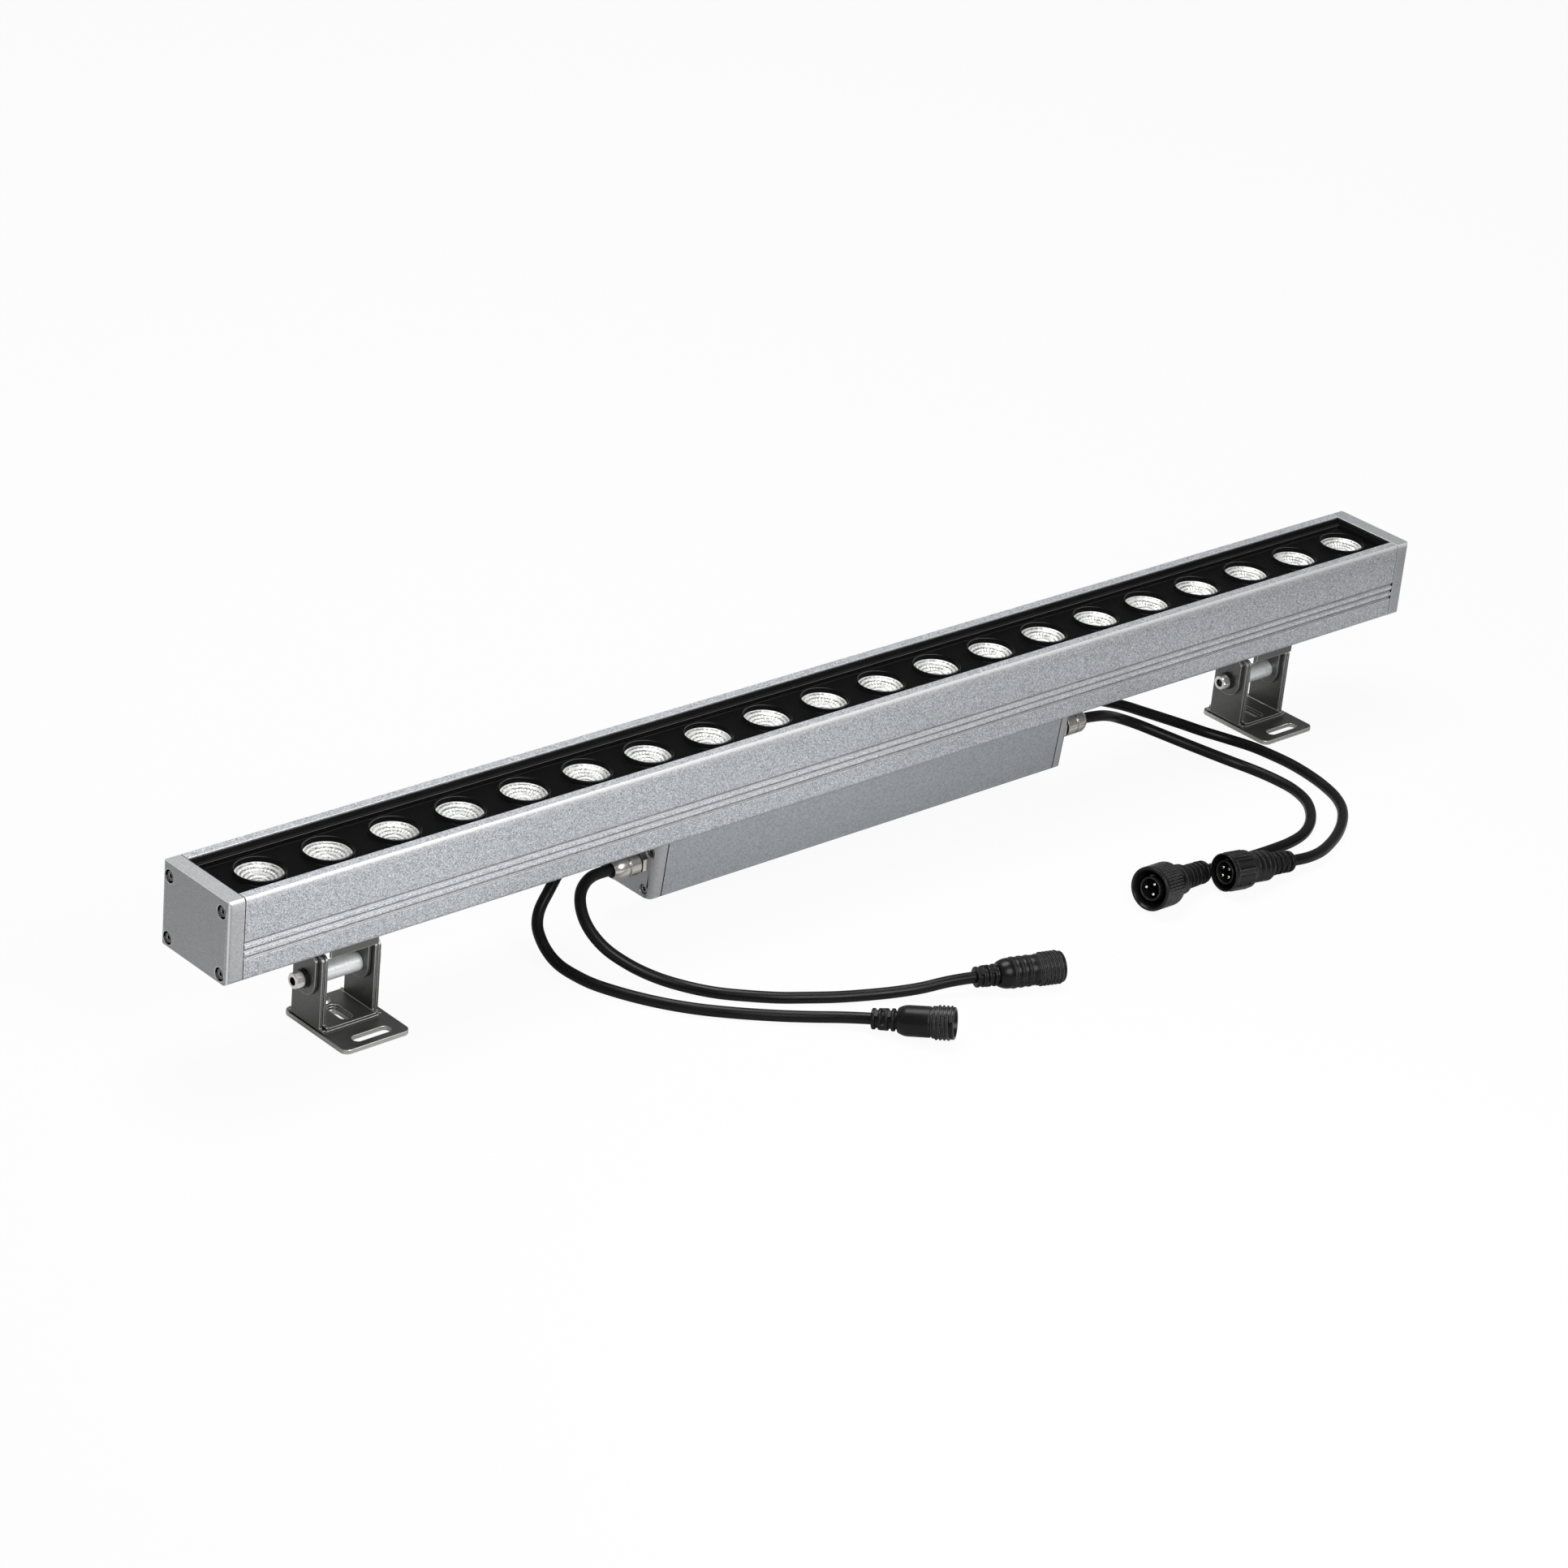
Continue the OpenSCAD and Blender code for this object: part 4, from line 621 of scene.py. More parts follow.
# edge masks here also give edges wear and a painted highlight
plastics = {
    "washerBlack": {
        "colour": (0.006, 0.006, 0.006), "rough": 0.35, "dust": 0.01, "specular": 0.2, "wearAndHighlight": 1.0,
    },
    "sealRubber": {"colour": (0.006, 0.006, 0.006), "rough": 0.5, "dust": 0.01, "specular": 0.2},
    "cableRubber": {
        "colour": (0.004, 0.004, 0.0042), "rough": 0.36, "scale": 900, "dust": 0.01, "bump": 3e-5,
        "specular": 0.16,
    },
    "reliefRubber": {
        "colour": (0.005, 0.005, 0.005), "dust": 0.015, "bump": 3e-5, "specular": 0.18,
    },
    "connectorPlastic": {
        "colour": (0.0045, 0.0045, 0.0045), "rough": 0.3, "dust": 0.012, "bump": 2.5e-5, "specular": 0.16,
        "wearAndHighlight": 1.0,
    },
    "panelBlack": {
        "colour": (0.0008, 0.0008, 0.0008), "dust": 0.0, "bump": 1e-5, "specular": 0.02,
        # painted highlight on the far rim of each lens hole
        "rim": {"towards": (0.3, -1, 0), "colour": (0.16, 0.16, 0.16, 1)},
    },
    "boardWhite": {"colour": (0.75, 0.75, 0.72), "dust": 0.05},
    "boardGreen": {"colour": (0.02, 0.11, 0.045), "rough": 0.35, "dust": 0.05},
    "componentDark": {"colour": (0.03, 0.03, 0.028), "dust": 0.05},
    "leadRed": {"colour": (0.4, 0.012, 0.012), "dust": 0.03},
    "ledPhosphor": {"colour": (0.85, 0.66, 0.12), "rough": 0.5, "dust": 0.02},
}
clearGlass = {"colour": (0.02, 0.022, 0.022), "alpha": 0.04, "rough": 0.06, "scale": 300.0, "dust": 0.06}
clearLens = {
    "colour": (0.75, 0.755, 0.745), "metallic": 0.2, "coat": 0.2, "rough": 0.36, "scale": 1500,
    "contrast": 0.35, "flecks": 0.1, "bump": 1e-4,
}


def startFinish(name):
    finish = bpy.data.materials.new(name)
    finish.use_nodes = True
    tree = finish.node_tree
    return finish, tree, tree.nodes["Principled BSDF"].inputs


def placeGroup(tree, group, values=None):
    made = addNode(tree, "ShaderNodeGroup", None, node_tree=group)
    for name, value in (values or {}).items():
        made.inputs[name].default_value = value
    return made.outputs


def grainOf(tree, colour, scale, contrast, flecks, rough):
    return placeGroup(tree, blastedGrain, {
        "Colour": (*colour, 1), "Grain Scale": scale, "Contrast": contrast, "Flecks": flecks,
        "Roughness": rough,
    })


def skinOf(tree, colour, scale, rough, dust):
    values = {"Colour": (*colour, 1), "Skin Scale": scale, "Roughness": rough, "Dust": dust}
    return placeGroup(tree, mouldedSkin, values)


def finishShader(tree, shader, base, group, bump):
    feed(tree, base, shader["Base Color"])
    feed(tree, group["Roughness"], shader["Roughness"])
    if bump:
        inputs = {"Strength": 1, "Distance": bump, "Height": group["Height"]}
        feed(tree, addNode(tree, "ShaderNodeBump", inputs).outputs[0], shader["Normal"])


def metalFinish(
    name, colour, metallic=0.5, rough=0.4, scale=900.0, contrast=0.1, flecks=0.1, bump=2e-5,
    wearAndHighlight=0.0, wornAndLit=(0.7, 0.7, 0.7, 1), width=0.0005, shade=None, rims=0.0,
):
    finish, tree, shader = startFinish(name)
    shader["Metallic"].default_value = metallic
    grain = grainOf(tree, colour, scale, contrast, flecks, rough)
    base = grain["Colour"]
    # painted shade and highlights from the shade group
    if shade:
        carved = placeGroup(tree, shades[shade])
        base = scaleColour(tree, base, carved["Gain"])
        # painted highlight ring about each recess mouth
        if "Ring" in carved:
            base = mixColours(tree, carved["Ring"], base, wornAndLit)
    # edges get wear and a painted highlight; the rim mask adds painted highlights on chamfers
    if wearAndHighlight:
        mask = placeGroup(tree, edgeWearAndHighlight, {"Width": width, "Amount": wearAndHighlight})["Mask"]
        if rims:
            mask = calc(tree, "MAXIMUM", mask, placeGroup(tree, litRims, {"Ends": rims})["Mask"])
        base = mixColours(tree, mask, base, wornAndLit)
    finishShader(tree, shader, base, grain, bump)
    return finish


def plasticFinish(
    name, colour, rough=0.4, scale=1800.0, dust=0.1, bump=2e-5, specular=0.5, rim=None,
    wearAndHighlight=0.0, wornAndLit=(0.16, 0.16, 0.16, 1), width=0.0004,
):
    finish, tree, shader = startFinish(name)
    shader["Specular IOR Level"].default_value = specular
    skin = skinOf(tree, colour, scale, rough, dust)
    base = skin["Colour"]
    # painted highlight on rims that face one way
    if rim:
        lit = placeGroup(tree, litRims, {"Towards": rim["towards"], "Offset": 0.0, "Ends": 0.0})
        base = mixColours(tree, lit["Mask"], base, rim["colour"])
    # edges get wear and a painted highlight
    if wearAndHighlight:
        mask = placeGroup(tree, edgeWearAndHighlight, {"Width": width, "Amount": wearAndHighlight})["Mask"]
        base = mixColours(tree, mask, base, wornAndLit)
    finishShader(tree, shader, base, skin, bump)
    return finish


def glassFinish(values):
    finish, tree, shader = startFinish("clearGlass")
    shader["Metallic"].default_value = 0
    shader["Alpha"].default_value = values["alpha"]
    skin = skinOf(tree, values["colour"], values["scale"], values["rough"], values["dust"])
    finishShader(tree, shader, skin["Colour"], skin, 0)
    finish.surface_render_method = "BLENDED"
    return finish


def lensFinish(v):
    finish, tree, shader = startFinish("clearLens")
    shader["Metallic"].default_value = v["metallic"]
    shader["Coat Weight"].default_value = v["coat"]
    grain = grainOf(tree, v["colour"], v["scale"], v["contrast"], v["flecks"], v["rough"])
    ringed = scaleColour(tree, grain["Colour"], placeGroup(tree, shades["lenses"])["Gain"])
    finishShader(tree, shader, ringed, grain, v["bump"])
    return finish


finishes = {name: metalFinish(name, **values) for name, values in metals.items()}
finishes.update({name: plasticFinish(name, **values) for name, values in plastics.items()})
finishes["clearGlass"] = glassFinish(clearGlass)
finishes["clearLens"] = lensFinish(clearLens)
print("finishes:", len(finishes))


# Cables: each lies on the ground along the route of its solid and ends in its connector

lie = 3.65  # height of a cable's centre on the ground

cables = {
    "diameter": 7.3,
    "frontLeft": {
        "replaces": "cable_a", "turn": -20.7, "lift": 1.2, "length": 0.308,
        "route": [
            (-201, -11.5, 51.5), (-218, -12.5, 51), (-231, -20, 46), (-237, -33, 36), (-234, -47, 25),
            (-224, -60, 15.5), (-211, -72, 8), (-198, -86, 4.2), (-186.5, -101, lie), (-173, -114, lie),
            (-159, -125.5, lie), (-144, -135, lie), (-128.5, -144, lie), (-112.5, -152, 3.9),
            (-96.5, -160, 4.8), (-80, -167.5, 6.4), (-63, -173.5, 8.6), (-46.4, -179.5, 9.5),
        ],
    },
    "rearLeft": {
        "replaces": "cable_b", "turn": -52.4, "lift": 7.1, "length": 0.289,
        "route": [
            (-201, 18.5, 51.5), (-209, 17.6, 50), (-219.6, 14, 44.2), (-230.4, 10, 35.6),
            (-240, 6.2, 27), (-245.7, 0.6, 20.4), (-248.3, -7.2, 14.4), (-248.8, -16, 9),
            (-247.9, -25, 5.4), (-246.2, -36, 3.9), (-243.6, -51, lie), (-237.5, -67, lie),
            (-229.5, -82.5, lie), (-220, -97, lie), (-209, -110.5, lie), (-197, -122.5, lie),
            (-184, -134, lie), (-171, -144.5, lie), (-157.5, -155.5, 4.2), (-144, -167.5, 5.5),
            (-132.5, -180.4, 7.3),
        ],
    },
    "frontRight": {
        "replaces": "cable_c", "turn": 188, "lift": 7.2, "length": 0.368,
        "route": [
            (206, -11.5, 51.5), (222, -11, 49.5), (238, -6, 43.5), (253.5, -1, 36), (269, -4, 29),
            (281.5, -15.5, 23.5), (293, -28, 18.5), (305.5, -39.5, 13), (318, -50.5, 7.6),
            (327, -64.5, 4.5), (330.5, -81, lie), (330, -98, lie), (324.5, -114.5, lie),
            (314, -128.5, lie), (300.5, -140, lie), (285, -148, lie), (268, -151.5, lie),
            (250.5, -152, lie), (233, -151.5, lie), (215, -152.2, 4.8), (197, -154.1, 7),
            (179.5, -156.5, 9.3),
        ],
    },
    "rearRight": {
        "replaces": "cable_d_rear", "turn": 175.8, "lift": 5.8, "length": 0.388,
        "route": [
            (206, 18.5, 51.5), (223, 18.5, 50.5), (240.5, 17.5, 46), (257, 15.5, 40.5),
            (273.5, 12.5, 34.5), (289.5, 9, 27.5), (305.5, 5, 20.5), (321, 0, 13.8), (335, -8, 8),
            (346.5, -21, 4.8), (353.5, -36.5, 3.9), (356.5, -53, lie), (357.5, -70.5, lie),
            (356, -88, lie), (352.5, -105, lie), (346.5, -121.5, lie), (337, -136, lie),
            (323.5, -148.5, lie), (307, -159.5, 3.8), (289.5, -168.2, 4.5), (273, -174.3, 5.6),
            (257, -176.9, 7.1), (241, -176, 8.6),
        ],
    },
}


def connectorPlace(cable):
    # from a connector's own frame, cable end at 0 and mouth towards +x, to the lamp's
    turn = Matrix.Rotation(math.radians(cable["turn"]), 4, "Z")
    lift = Matrix.Rotation(math.radians(-cable["lift"]), 4, "Y")
    return Matrix.Translation(cable["route"][-1]) @ turn @ lift


def makeCable(name, cable):
    line = bpy.data.curves.new(name, "CURVE")
    line.dimensions = "3D"
    line.resolution_u = 6
    line.bevel_depth = cables["diameter"] / 2 * mm
    line.bevel_resolution = 6
    line.use_fill_caps = True
    spline = line.splines.new("BEZIER")
    route = [Vector(p) * mm for p in cable["route"]]
    outward = Vector((math.copysign(1, route[0].x), 0, 0))
    ahead = connectorPlace(cable).to_3x3() @ Vector((1, 0, 0))
    ways = [outward] + [(b - a).normalized() for a, b in zip(route, route[2:])] + [ahead]
    spline.bezier_points.add(len(route) - 1)
    for index, point in enumerate(spline.bezier_points):
        before = (route[index] - route[max(index - 1, 0)]).length / 3
        after = (route[min(index + 1, len(route) - 1)] - route[index]).length / 3
        point.co = route[index]
        point.handle_left_type = point.handle_right_type = "FREE"
        point.handle_left = route[index] - ways[index] * (before or after)
        point.handle_right = route[index] + ways[index] * (after or before)
    line.materials.append(finishes["cableRubber"])
    piece = newObject(name, line)
    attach(piece, "lamp")
    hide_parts(cable["replaces"])
    return piece


# Connectors, each along x with its cable end at x = 0, in millimetres

plugs = {
    "bodyRadius": 9.5, "threadRadius": 10.65, "threadDepth": 0.8, "pitch": 2.5, "tooth": 1.5,
    "threadFrom": 0.6, "threadEnds": 3.2, "socketRadius": 8.2, "socketDepth": 12, "floorThick": 3,
    "insertRadius": 8.1, "contactRing": 3.9, "contactTurn": 45, "keyTurn": 0.4, "ridgeFrom": 9,
    "ridgePitch": 5, "reliefRadius": 7, "reliefRings": 4,
}
plugA = {**plugs, "length": 58, "threadLength": 17.5, "reliefLength": 15, "contacts": 4, "ridges": 3}
plugB = {**plugs, "length": 50.8, "threadLength": 13.6, "reliefLength": 16, "contacts": 3, "ridges": 0}
threePin = {
    "length": 60, "bodyRadius": 10, "bodyRings": 2, "nutRadius": 14.5, "reliefRadius": 8,
    "reliefLength": 23, "reliefRings": 5, "pins": 3, "pinTurn": 65, "grips": 44, "flats": 0,
    "mouthRadius": 12.9,
}
fourPin = {
    "length": 59.4, "bodyRadius": 10, "bodyRings": 3, "nutRadius": 12.5, "reliefRadius": 7.5,
    "reliefLength": 19, "reliefRings": 4, "pins": 4, "pinTurn": 55, "grips": 0, "flats": 8,
    "mouthRadius": 11.7,
}
coupling = {
    "nutLength": 23, "bore": 10.9, "shoulder": 3, "backWall": 1.25, "waist": 1.9, "neck": 1.5,
    "towerRadius": 7.9, "towerBore": 6.7, "towerInset": 0.8, "pinRing": 3.9, "pinRadius": 1,
    "pinLength": 10, "pinTip": 0.6, "pinFloor": 1, "gripHalf": 0.42, "flatHalf": 3.6,
}
reliefForm = {
    "first": 0.93, "swell": 0.07, "core": 0.78, "ring": 0.62, "bridgeHalf": 2.4, "bridgeTurn": 0.5,
}


def makeRelief(name, p, place):
    # rubber sleeve: round rings on a thinner core, tied by short bridges that change sides
    v, length, radius, rings = reliefForm, p["reliefLength"], p["reliefRadius"], p["reliefRings"]
    step = length / rings
    bm = bmesh.new()
    line = [(0, 0)]
    for index in range(rings):
        r = radius * (v["first"] + v["swell"] * index / (rings - 1))
        core, x0, x1 = r * v["core"], index * step, (index + v["ring"]) * step
        line += [
            (x0, core), (x0 + 0.05, r - 0.7), (x0 + 0.3, r - 0.2), (x0 + 0.7, r), (x1 - 0.7, r),
            (x1 - 0.3, r - 0.2), (x1 - 0.05, r - 0.7), (x1, core),
        ]
    line += [(length, radius * 0.8), (length, 0)]
    turnLine(bm, line, 48)
    for index in range(rings - 1):
        low = ((index + 0.5) * step, -v["bridgeHalf"], radius * 0.5)
        high = ((index + 1.12) * step, v["bridgeHalf"], radius * 0.94)
        for side in (0, math.pi):
            addBox(bm, low, high, side + (math.pi / 2 if index % 2 else 0) + v["bridgeTurn"])
    return asPiece(bm, name, "lamp", "reliefRubber", place, edge=0.2, corner=50)


def makePlugBody(name, p, place):
    x0, r, end = p["reliefLength"], p["bodyRadius"], p["length"]
    thread, root = end - p["threadLength"], p["threadRadius"] - p["threadDepth"]
    bore, floor = p["socketRadius"], end - p["socketDepth"] - p["floorThick"]
    bm = bmesh.new()
    line = [
        (x0, 0), (x0, 7.2), (x0 + 0.4, 7.75), (x0 + 1.6, 8.35), (x0 + 3, 8.9), (x0 + 4.5, 9.3),
        (x0 + 6, r),
    ]
    for index in range(p["ridges"]):
        ridge = x0 + p["ridgeFrom"] + p["ridgePitch"] * index
        line += [
            (ridge - 0.5, r), (ridge, r - 0.25), (ridge + 0.25, r + 0.4), (ridge + 1.75, r + 0.4),
            (ridge + 2, r - 0.25), (ridge + 2.5, r),
        ]
    line += [
        (thread - 1.6, r), (thread - 1.2, r - 0.5), (thread - 0.2, r - 0.5), (thread, root),
        (end - 0.5, root), (end, root - 0.5), (end, bore + 0.25), (end - 0.3, bore), (floor, bore),
        (floor, 0),
    ]
    turnLine(bm, line, 72)
    turns = (p["threadLength"] - p["threadEnds"]) / p["pitch"]
    start = thread + p["threadFrom"]
    turnThread(bm, start, p["pitch"], turns, root - 0.15, p["threadRadius"], p["tooth"])
    return asPiece(bm, name, "lamp", "connectorPlastic", place, edge=0.12, corner=40)


def addTubes(bm, p, line, steps):
    # one turned tube for each contact, as (x from the bottom of the socket, radius)
    face, count = p["length"] - p["socketDepth"], p["contacts"]
    for index in range(count):
        angle = math.tau * index / count + math.radians(p["contactTurn"])
        turnAside(bm, [(face + x, r) for x, r in line], steps, p["contactRing"], angle)


def makePlugInsert(name, p, place):
    # the face at the bottom of the socket with its raised contact tubes
    face, r = p["length"] - p["socketDepth"], p["insertRadius"]
    back = face - p["floorThick"]
    bm = bmesh.new()
    turnLine(bm, [(back, 0), (back, r), (face - 0.3, r), (face, r - 0.3), (face, 0)], 48)
    addTubes(bm, p, [
        (-0.5, 0), (-0.5, 1.8), (5.7, 1.8), (6, 1.5), (6, 1.2), (5.8, 1.1), (1, 1.1), (1, 0),
    ], 20)
    addBox(bm, (face - 0.2, -1.2, 6.4), (face + 7, 1.2, 8.15), p["keyTurn"])
    return asPiece(
        bm, name, "lamp", "connectorPlastic", place, edge=0.08, segments=1,
        corner=50,
    )


def makePlugContacts(name, p, place):
    # thin metal sleeves in the contact tubes
    bm = bmesh.new()
    addTubes(bm, p, [
        (1.05, 0), (1.05, 1.08), (5.7, 1.08), (5.9, 0.98), (5.7, 0.85), (1.5, 0.85), (1.5, 0),
    ], 16)
    return asPiece(bm, name, "lamp", "contactMetal", place, corner=50)


def pinEnds(p):
    # the floor of the pin tower and its open end
    end = p["length"] - coupling["towerInset"]
    return end - coupling["pinLength"] - coupling["pinFloor"], end


def makePinBody(name, p, place):
    c, x0, r = coupling, p["reliefLength"], p["bodyRadius"]
    back, neck, tower = p["length"] - c["nutLength"], r - c["neck"], c["towerRadius"]
    floor, end = pinEnds(p)
    collar = back + c["shoulder"] + 0.2
    bm = bmesh.new()
    line = [(x0, 0), (x0, r - 2.4), (x0 + 0.5, r - 1.7), (x0 + 1.5, r - 1), (x0 + 2.8, r - 0.4)]
    step = (back - 0.4 - x0 - 3.4) / p["bodyRings"]
    for index in range(p["bodyRings"]):
        a = x0 + 3.2 + index * step
        line += [(a, r - 0.35), (a + 0.25, r), (a + step - 0.9, r), (a + step - 0.65, r - 0.35)]
    line += [
        (back - 0.5, r - 0.35), (back - 0.2, r - 0.6), (back - 0.2, neck), (collar, neck),
        (collar, c["bore"] - 0.5), (collar + 2.5, c["bore"] - 0.5), (collar + 2.5, tower),
        (end - 0.4, tower), (end, tower - 0.3), (end, c["towerBore"] + 0.2),
        (end - 0.3, c["towerBore"]), (floor, c["towerBore"]), (floor, 0),
    ]
    turnLine(bm, line, 72)
    addBox(bm, (collar + 2, -1, tower - 0.3), (end - 2.5, 1, tower + 0.9), 0.35)
    return asPiece(bm, name, "lamp", "connectorPlastic", place, edge=0.12, corner=40)


def makePins(name, p, place):
    c, floor = coupling, pinEnds(p)[0]
    bm = bmesh.new()
    for index in range(p["pins"]):
        angle = math.tau * index / p["pins"] + math.radians(p["pinTurn"])
        centre = (c["pinRing"] * math.cos(angle), c["pinRing"] * math.sin(angle))
        addRod(bm, floor, floor + c["pinLength"], c["pinRadius"], 24, centre, c["pinTip"])
    return asPiece(bm, name, "lamp", "contactMetal", place, corner=60)


def makeCouplingNut(name, body, p, place):
    # loose nut: an open ring with grip ribs or sunk flats round its barrel
    c, r, end, grips, flats = coupling, p["nutRadius"], p["length"], p["grips"], p["flats"]
    back = end - c["nutLength"]
    shoulder, waist, inner = back + c["shoulder"], r - c["waist"], p["bodyRadius"] - c["backWall"]
    bm = bmesh.new()
    turnLine(bm, [
        (back, inner), (back, waist - 0.6), (back + 0.6, waist), (back + 2, waist + 0.25),
        (back + 3.2, r - 0.7), (back + 3.9, r - 0.15), (end - 3.2, r - 0.15), (end - 3, r),
        (end - 0.5, r), (end, r - 0.5), (end, p["mouthRadius"]), (end - 2.6, c["bore"] + 0.1),
        (shoulder, c["bore"]), (shoulder, inner), (back, inner),
    ], 12 * flats + 4 * grips)
    low, high, half = back + 4.4, end - 3.7, c["gripHalf"]
    for index in range(grips):
        addBox(bm, (low, -half, r - 0.5), (high, half, r - 0.02), math.tau * index / grips)
    low, high, half = low + 1, high + 0.5, c["flatHalf"]
    for index in range(flats):
        addBox(bm, (low, -half, r - 1.4), (high, half, r - 0.12), math.tau * index / flats)
    return asPiece(bm, name, body, "connectorPlastic", place, edge=0.14, corner=40)


def makePlug(side, p, nodes):
    place = connectorPlace(cables[side])
    relief = makeRelief(side + "PlugSleeve", p, place)
    body = makePlugBody(side + "PlugBody", p, place)
    insert = makePlugInsert(side + "PlugInsert", p, place)
    contacts = makePlugContacts(side + "PlugContacts", p, place)
    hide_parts(nodes + "_relief")
    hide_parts(nodes + "_body")
    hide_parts(nodes + "_insert")
    return [relief, body, insert, contacts]


def makePinConnector(side, p, nodes):
    place = connectorPlace(cables[side])
    relief = makeRelief(side + "PinSleeve", p, place)
    body = makePinBody(side + "PinBody", p, place)
    pins = makePins(side + "Pins", p, place)
    nut = makeCouplingNut(side + "CouplingNut", nodes + "_coupling", p, place)
    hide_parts(nodes + "_relief")
    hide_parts(nodes + "_body")
    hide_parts(nodes + "_contacts")
    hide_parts(nodes + "_nut")
    return [relief, body, pins, nut]


ends = {
    "frontLeft": makePlug("frontLeft", plugA, "plug_a"),
    "rearLeft": makePlug("rearLeft", plugB, "plug_b"),
    "frontRight": makePinConnector("frontRight", threePin, "three_pin"),
    "rearRight": makePinConnector("rearRight", fourPin, "four_pin"),
}
for side, parts in ends.items():
    cable = cables[side]
    piece = makeCable(side + "Cable", cable)
    print(side, "cable is", round(piece.data.splines[0].calc_length(), 4), "m long")
print("cables and connectors")


# Lenses: a stepped and faceted bowl with a small dome, in one piece for the whole row

lensRow = {
    "first": -455.5, "pitch": 48.5, "count": 20, "y": 3.5, "radius": 14.7, "footRadius": 6,
    "footZ": 98.6, "rimZ": 113.4, "rimThick": 2.2, "rimWidth": 1.5, "lipWidth": 0.6, "bowlDepth": 5.8,
    "domeRadius": 4.2, "facets": 60, "steps": 3, "stepGap": 0.3, "rowsPerStep": 3, "dimple": 0.16,
    "dimplesPerMm": 1.7,
}


def lensLine(v):
    # (depth below the rim, radius) from the middle of the bowl out to the foot
    edge, lip, dome, depth = v["radius"], v["radius"] - v["lipWidth"], v["domeRadius"], v["bowlDepth"]
    line = [
        (depth - 1.25, 0), (depth - 1.2, dome * 0.35), (depth - 0.95, dome * 0.7),
        (depth - 0.5, dome * 0.92), (depth, dome),
    ]
    stepR, stepZ = (lip - dome - 0.4) / v["steps"], depth / v["steps"]
    for step in reversed(range(v["steps"])):
        outer, inner = lip - step * stepR, lip - (step + 1) * stepR + 0.1
        high, low = step * stepZ + (v["stepGap"] if step else 0), (step + 1) * stepZ
        for row in range(v["rowsPerStep"] + 1):
            share = row / v["rowsPerStep"]
            line.append((low + (high - low) * share, inner + (outer - inner) * share))
    height = v["rimZ"] - v["footZ"]
    line += [
        (0, edge - 0.15), (0.15, edge), (v["rimThick"], edge), (v["rimThick"], edge - v["rimWidth"]),
        (height, v["footRadius"]), (height, 0),
    ]
    return line


def makeLenses(v):
    bm = bmesh.new()
    turnLine(bm, [(-z, r) for z, r in lensLine(v)], v["facets"])
    bmesh.ops.remove_doubles(bm, verts=bm.verts, dist=1e-3)
    bm.transform(Matrix.Rotation(-math.pi / 2, 4, "Y"))
    bmesh.ops.recalc_face_normals(bm, faces=bm.faces)
    for vert in bm.verts:
        r, z = math.hypot(vert.co.x, vert.co.y), -vert.co.z
        if v["domeRadius"] + 0.5 < r < v["radius"] - 1 and -0.1 < z < v["bowlDepth"] + 0.1:
            slot = round(math.atan2(vert.co.y, vert.co.x) / math.tau * v["facets"])
            ring = round(r * v["dimplesPerMm"])
            vert.co.z += v["dimple"] * (1 if (slot + ring) % 2 else -1)
    one = bpy.data.meshes.new("oneLens")
    bm.to_mesh(one)
    bm.clear()
    for index in range(v["count"]):
        place = Vector((v["first"] + index * v["pitch"], v["y"], v["rimZ"]))
        one.transform(Matrix.Translation(place))
        bm.from_mesh(one)
        one.transform(Matrix.Translation(-place))
    bpy.data.meshes.remove(one)
    lenses = asPiece(bm, "lensRow", "lamp", "clearLens", corner=12)
    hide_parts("lenses")


makeLenses(lensRow)
print("lenses: one faceted piece")


# Pivot bolts: a knurled socket head, its shank and its thread

pivotBolt = {
    "plateEdges": {"left": -417.5, "right": 368.5}, "y": 3.5, "z": 34.5, "seat": -4.5,
    "headLength": 6, "headRadius": 5, "shankRadius": 3, "tip": 51.8, "socketFlats": 5, "socketDepth": 3,
    "knurls": 44, "knurlDepth": 0.28, "pitch": 1.0, "turns": 11, "threadLength": 12, "tooth": 0.7,
}


def makePivotBolt(side, v):
    # turned along x, then the socket is squared off to a hexagon and the head's side is knurled
    face, seat, tip, r = v["seat"] - v["headLength"], v["seat"], v["tip"], v["headRadius"]
    flat, shank, bottom = v["socketFlats"] / 2, v["shankRadius"], face + v["socketDepth"]
    hole = flat / math.cos(math.radians(30))
    bm = bmesh.new()
    turnLine(bm, [
        (bottom + 0.9, 0), (bottom, hole), (face, hole), (face, hole + 0.6), (face, r - 0.9),
        (face + 0.15, r - 0.45), (face + 0.6, r), (seat - 0.5, r), (seat - 0.1, r - 0.35),
        (seat, r - 0.7), (seat, shank), (tip - 0.5, shank - 0.05), (tip, shank - 0.6), (tip, 0),
    ], 2 * v["knurls"])
    for vert in bm.verts:
        x, y, z = vert.co
        angle, radius = math.atan2(z, y), math.hypot(y, z)
        if abs(radius - hole) < 1e-3 and x < bottom + 0.1:
            corner = flat / math.cos((angle + math.pi / 6) % (math.pi / 3) - math.pi / 6)
            vert.co.yz = corner * math.cos(angle), corner * math.sin(angle)
        slot = round(angle / math.tau * 2 * v["knurls"])
        if slot % 2 and radius > r - 0.01:
            sunk = r - v["knurlDepth"]
            vert.co.yz = sunk * math.cos(angle), sunk * math.sin(angle)
    start = tip - v["threadLength"]
    turnThread(bm, start, v["pitch"], v["turns"], shank - 0.3, shank + 0.12, v["tooth"], 24)
    node = "pivot_bolt_" + side
    bolt = asPiece(
        bm, side + "PivotBolt", frame["nodes"][node]["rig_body"], "polishedBolt",
        Matrix.Translation((v["plateEdges"][side], v["y"], v["z"])), corner=28,
    )
    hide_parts(node)


makePivotBolt("left", pivotBolt)
makePivotBolt("right", pivotBolt)
print("pivot bolts")


# CAD nodes whose form is right: softened copies for what shows, plain finishes for the rest

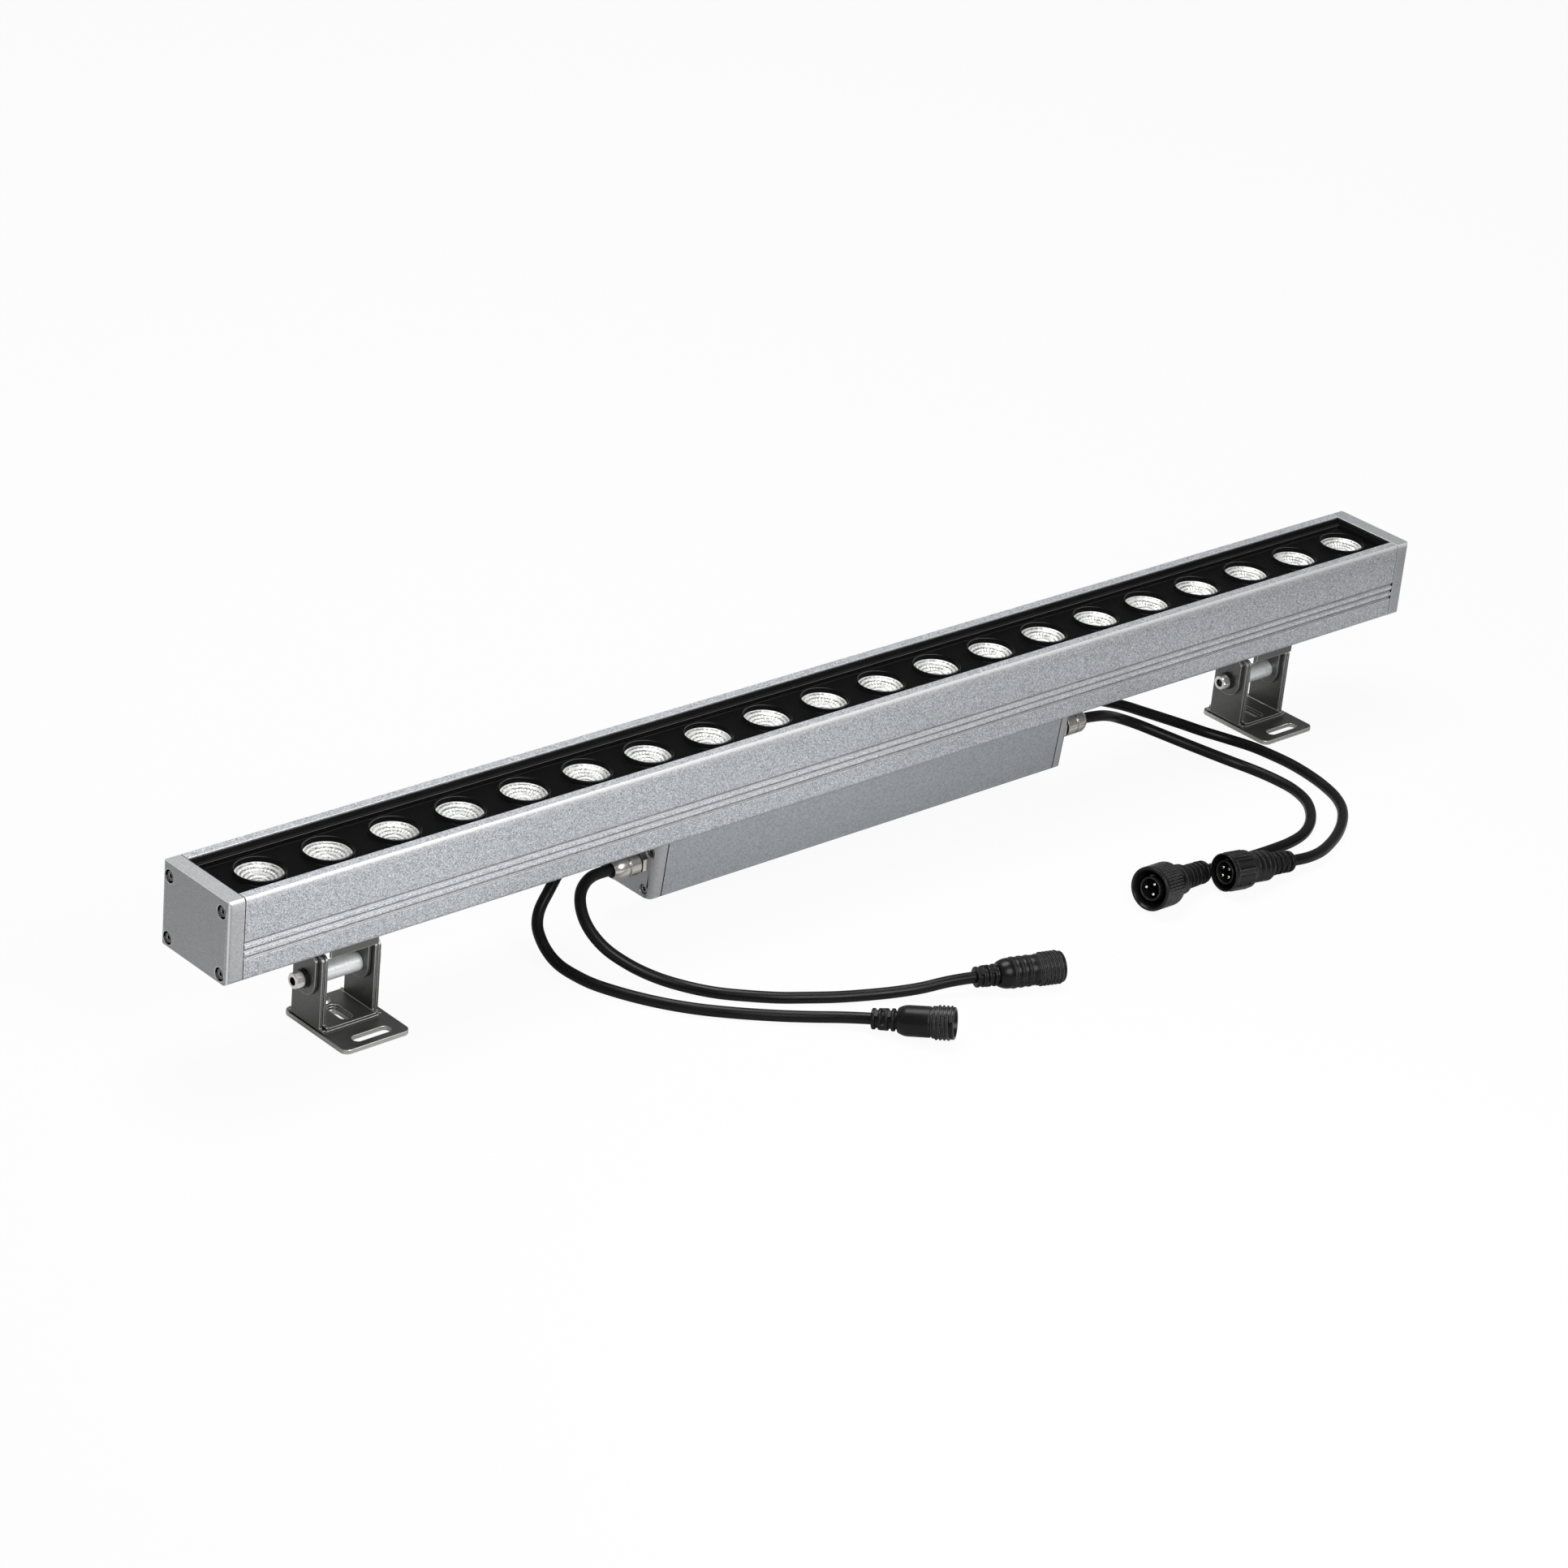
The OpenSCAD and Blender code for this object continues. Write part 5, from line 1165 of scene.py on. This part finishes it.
softened = {
    "housing": ("lampHousing", "silverHousing", "silver_housing", 0.3),
    "end_cap_left": ("leftEndCap", "silverCap", "silver_housing", 0.25),
    "end_cap_right": ("rightEndCap", "silverCap", "silver_housing", 0.25),
    "end_cap_screws": ("endCapScrews", "screwSteel", "bright_steel", 0.3),
    "lens_panel": ("lensPanel", "panelBlack", "panel_black", 0.25),
    "driver_box": ("driverBox", "driverGrey", "driver_grey", 0.3),
    "driver_cap_left": ("leftDriverCap", "driverCapGrey", "driver_cap_grey", 0.4),
    "driver_cap_right": ("rightDriverCap", "driverCapGrey", "driver_cap_grey", 0.4),
    "driver_cap_screws": ("driverCapScrews", "screwSteel", "bright_steel", 0.3),
    "cable_gland_bodies": ("glandBodies", "glandNickel", "gland_nickel", 0.3),
    "cable_gland_nuts": ("glandNuts", "glandNickel", "gland_nickel", 0.3),
    "tilt_bracket_left": ("leftTiltBracket", "bracketGrey", "bracket_grey", 0.3),
    "tilt_bracket_right": ("rightTiltBracket", "bracketGrey", "bracket_grey", 0.3),
    "base_plate_left": ("leftBasePlate", "plateGrey", "bracket_grey", 0.45),
    "base_plate_right": ("rightBasePlate", "plateGrey", "bracket_grey", 0.45),
    "outer_channel_left": ("leftOuterChannel", "bracketGrey", "bracket_grey", 0.3),
    "outer_channel_right": ("rightOuterChannel", "bracketGrey", "bracket_grey", 0.3),
    "inner_channel_left": ("leftInnerChannel", "bracketGrey", "bracket_grey", 0.25),
    "inner_channel_right": ("rightInnerChannel", "bracketGrey", "bracket_grey", 0.25),
    "channel_rivet_left": ("leftRivet", "bracketGrey", "bracket_grey", 0.25),
    "channel_rivet_right": ("rightRivet", "bracketGrey", "bracket_grey", 0.25),
    "pivot_nuts": ("pivotNuts", "brightSteel", "bright_steel", 0.35),
}
carried = {
    "end_gaskets": "sealRubber", "cover_glass": "clearGlass", "glass_seal": "sealRubber",
    "led_board": "boardWhite", "led_chips": "ledPhosphor", "led_board_screws": "brightSteel",
    "driver_gaskets": "sealRubber", "driver_box_screws": "brightSteel", "driver_board": "boardGreen",
    "driver_components": "componentDark", "internal_leads": "leadRed", "cable_gland_seals": "sealRubber",
    "tilt_bracket_screws": "brightSteel", "pivot_sleeves": "sleeveAluminium",
    "pivot_washers": "washerBlack",
}
for node, (name, finish, slot, edge) in softened.items():
    softCopy(node, name, finish, edge)
for node, finish in carried.items():
    mesh = frame["nodes"][node].data
    mesh.materials.clear()
    mesh.materials.append(finishes[finish])
print("metal parts, seals and boards")
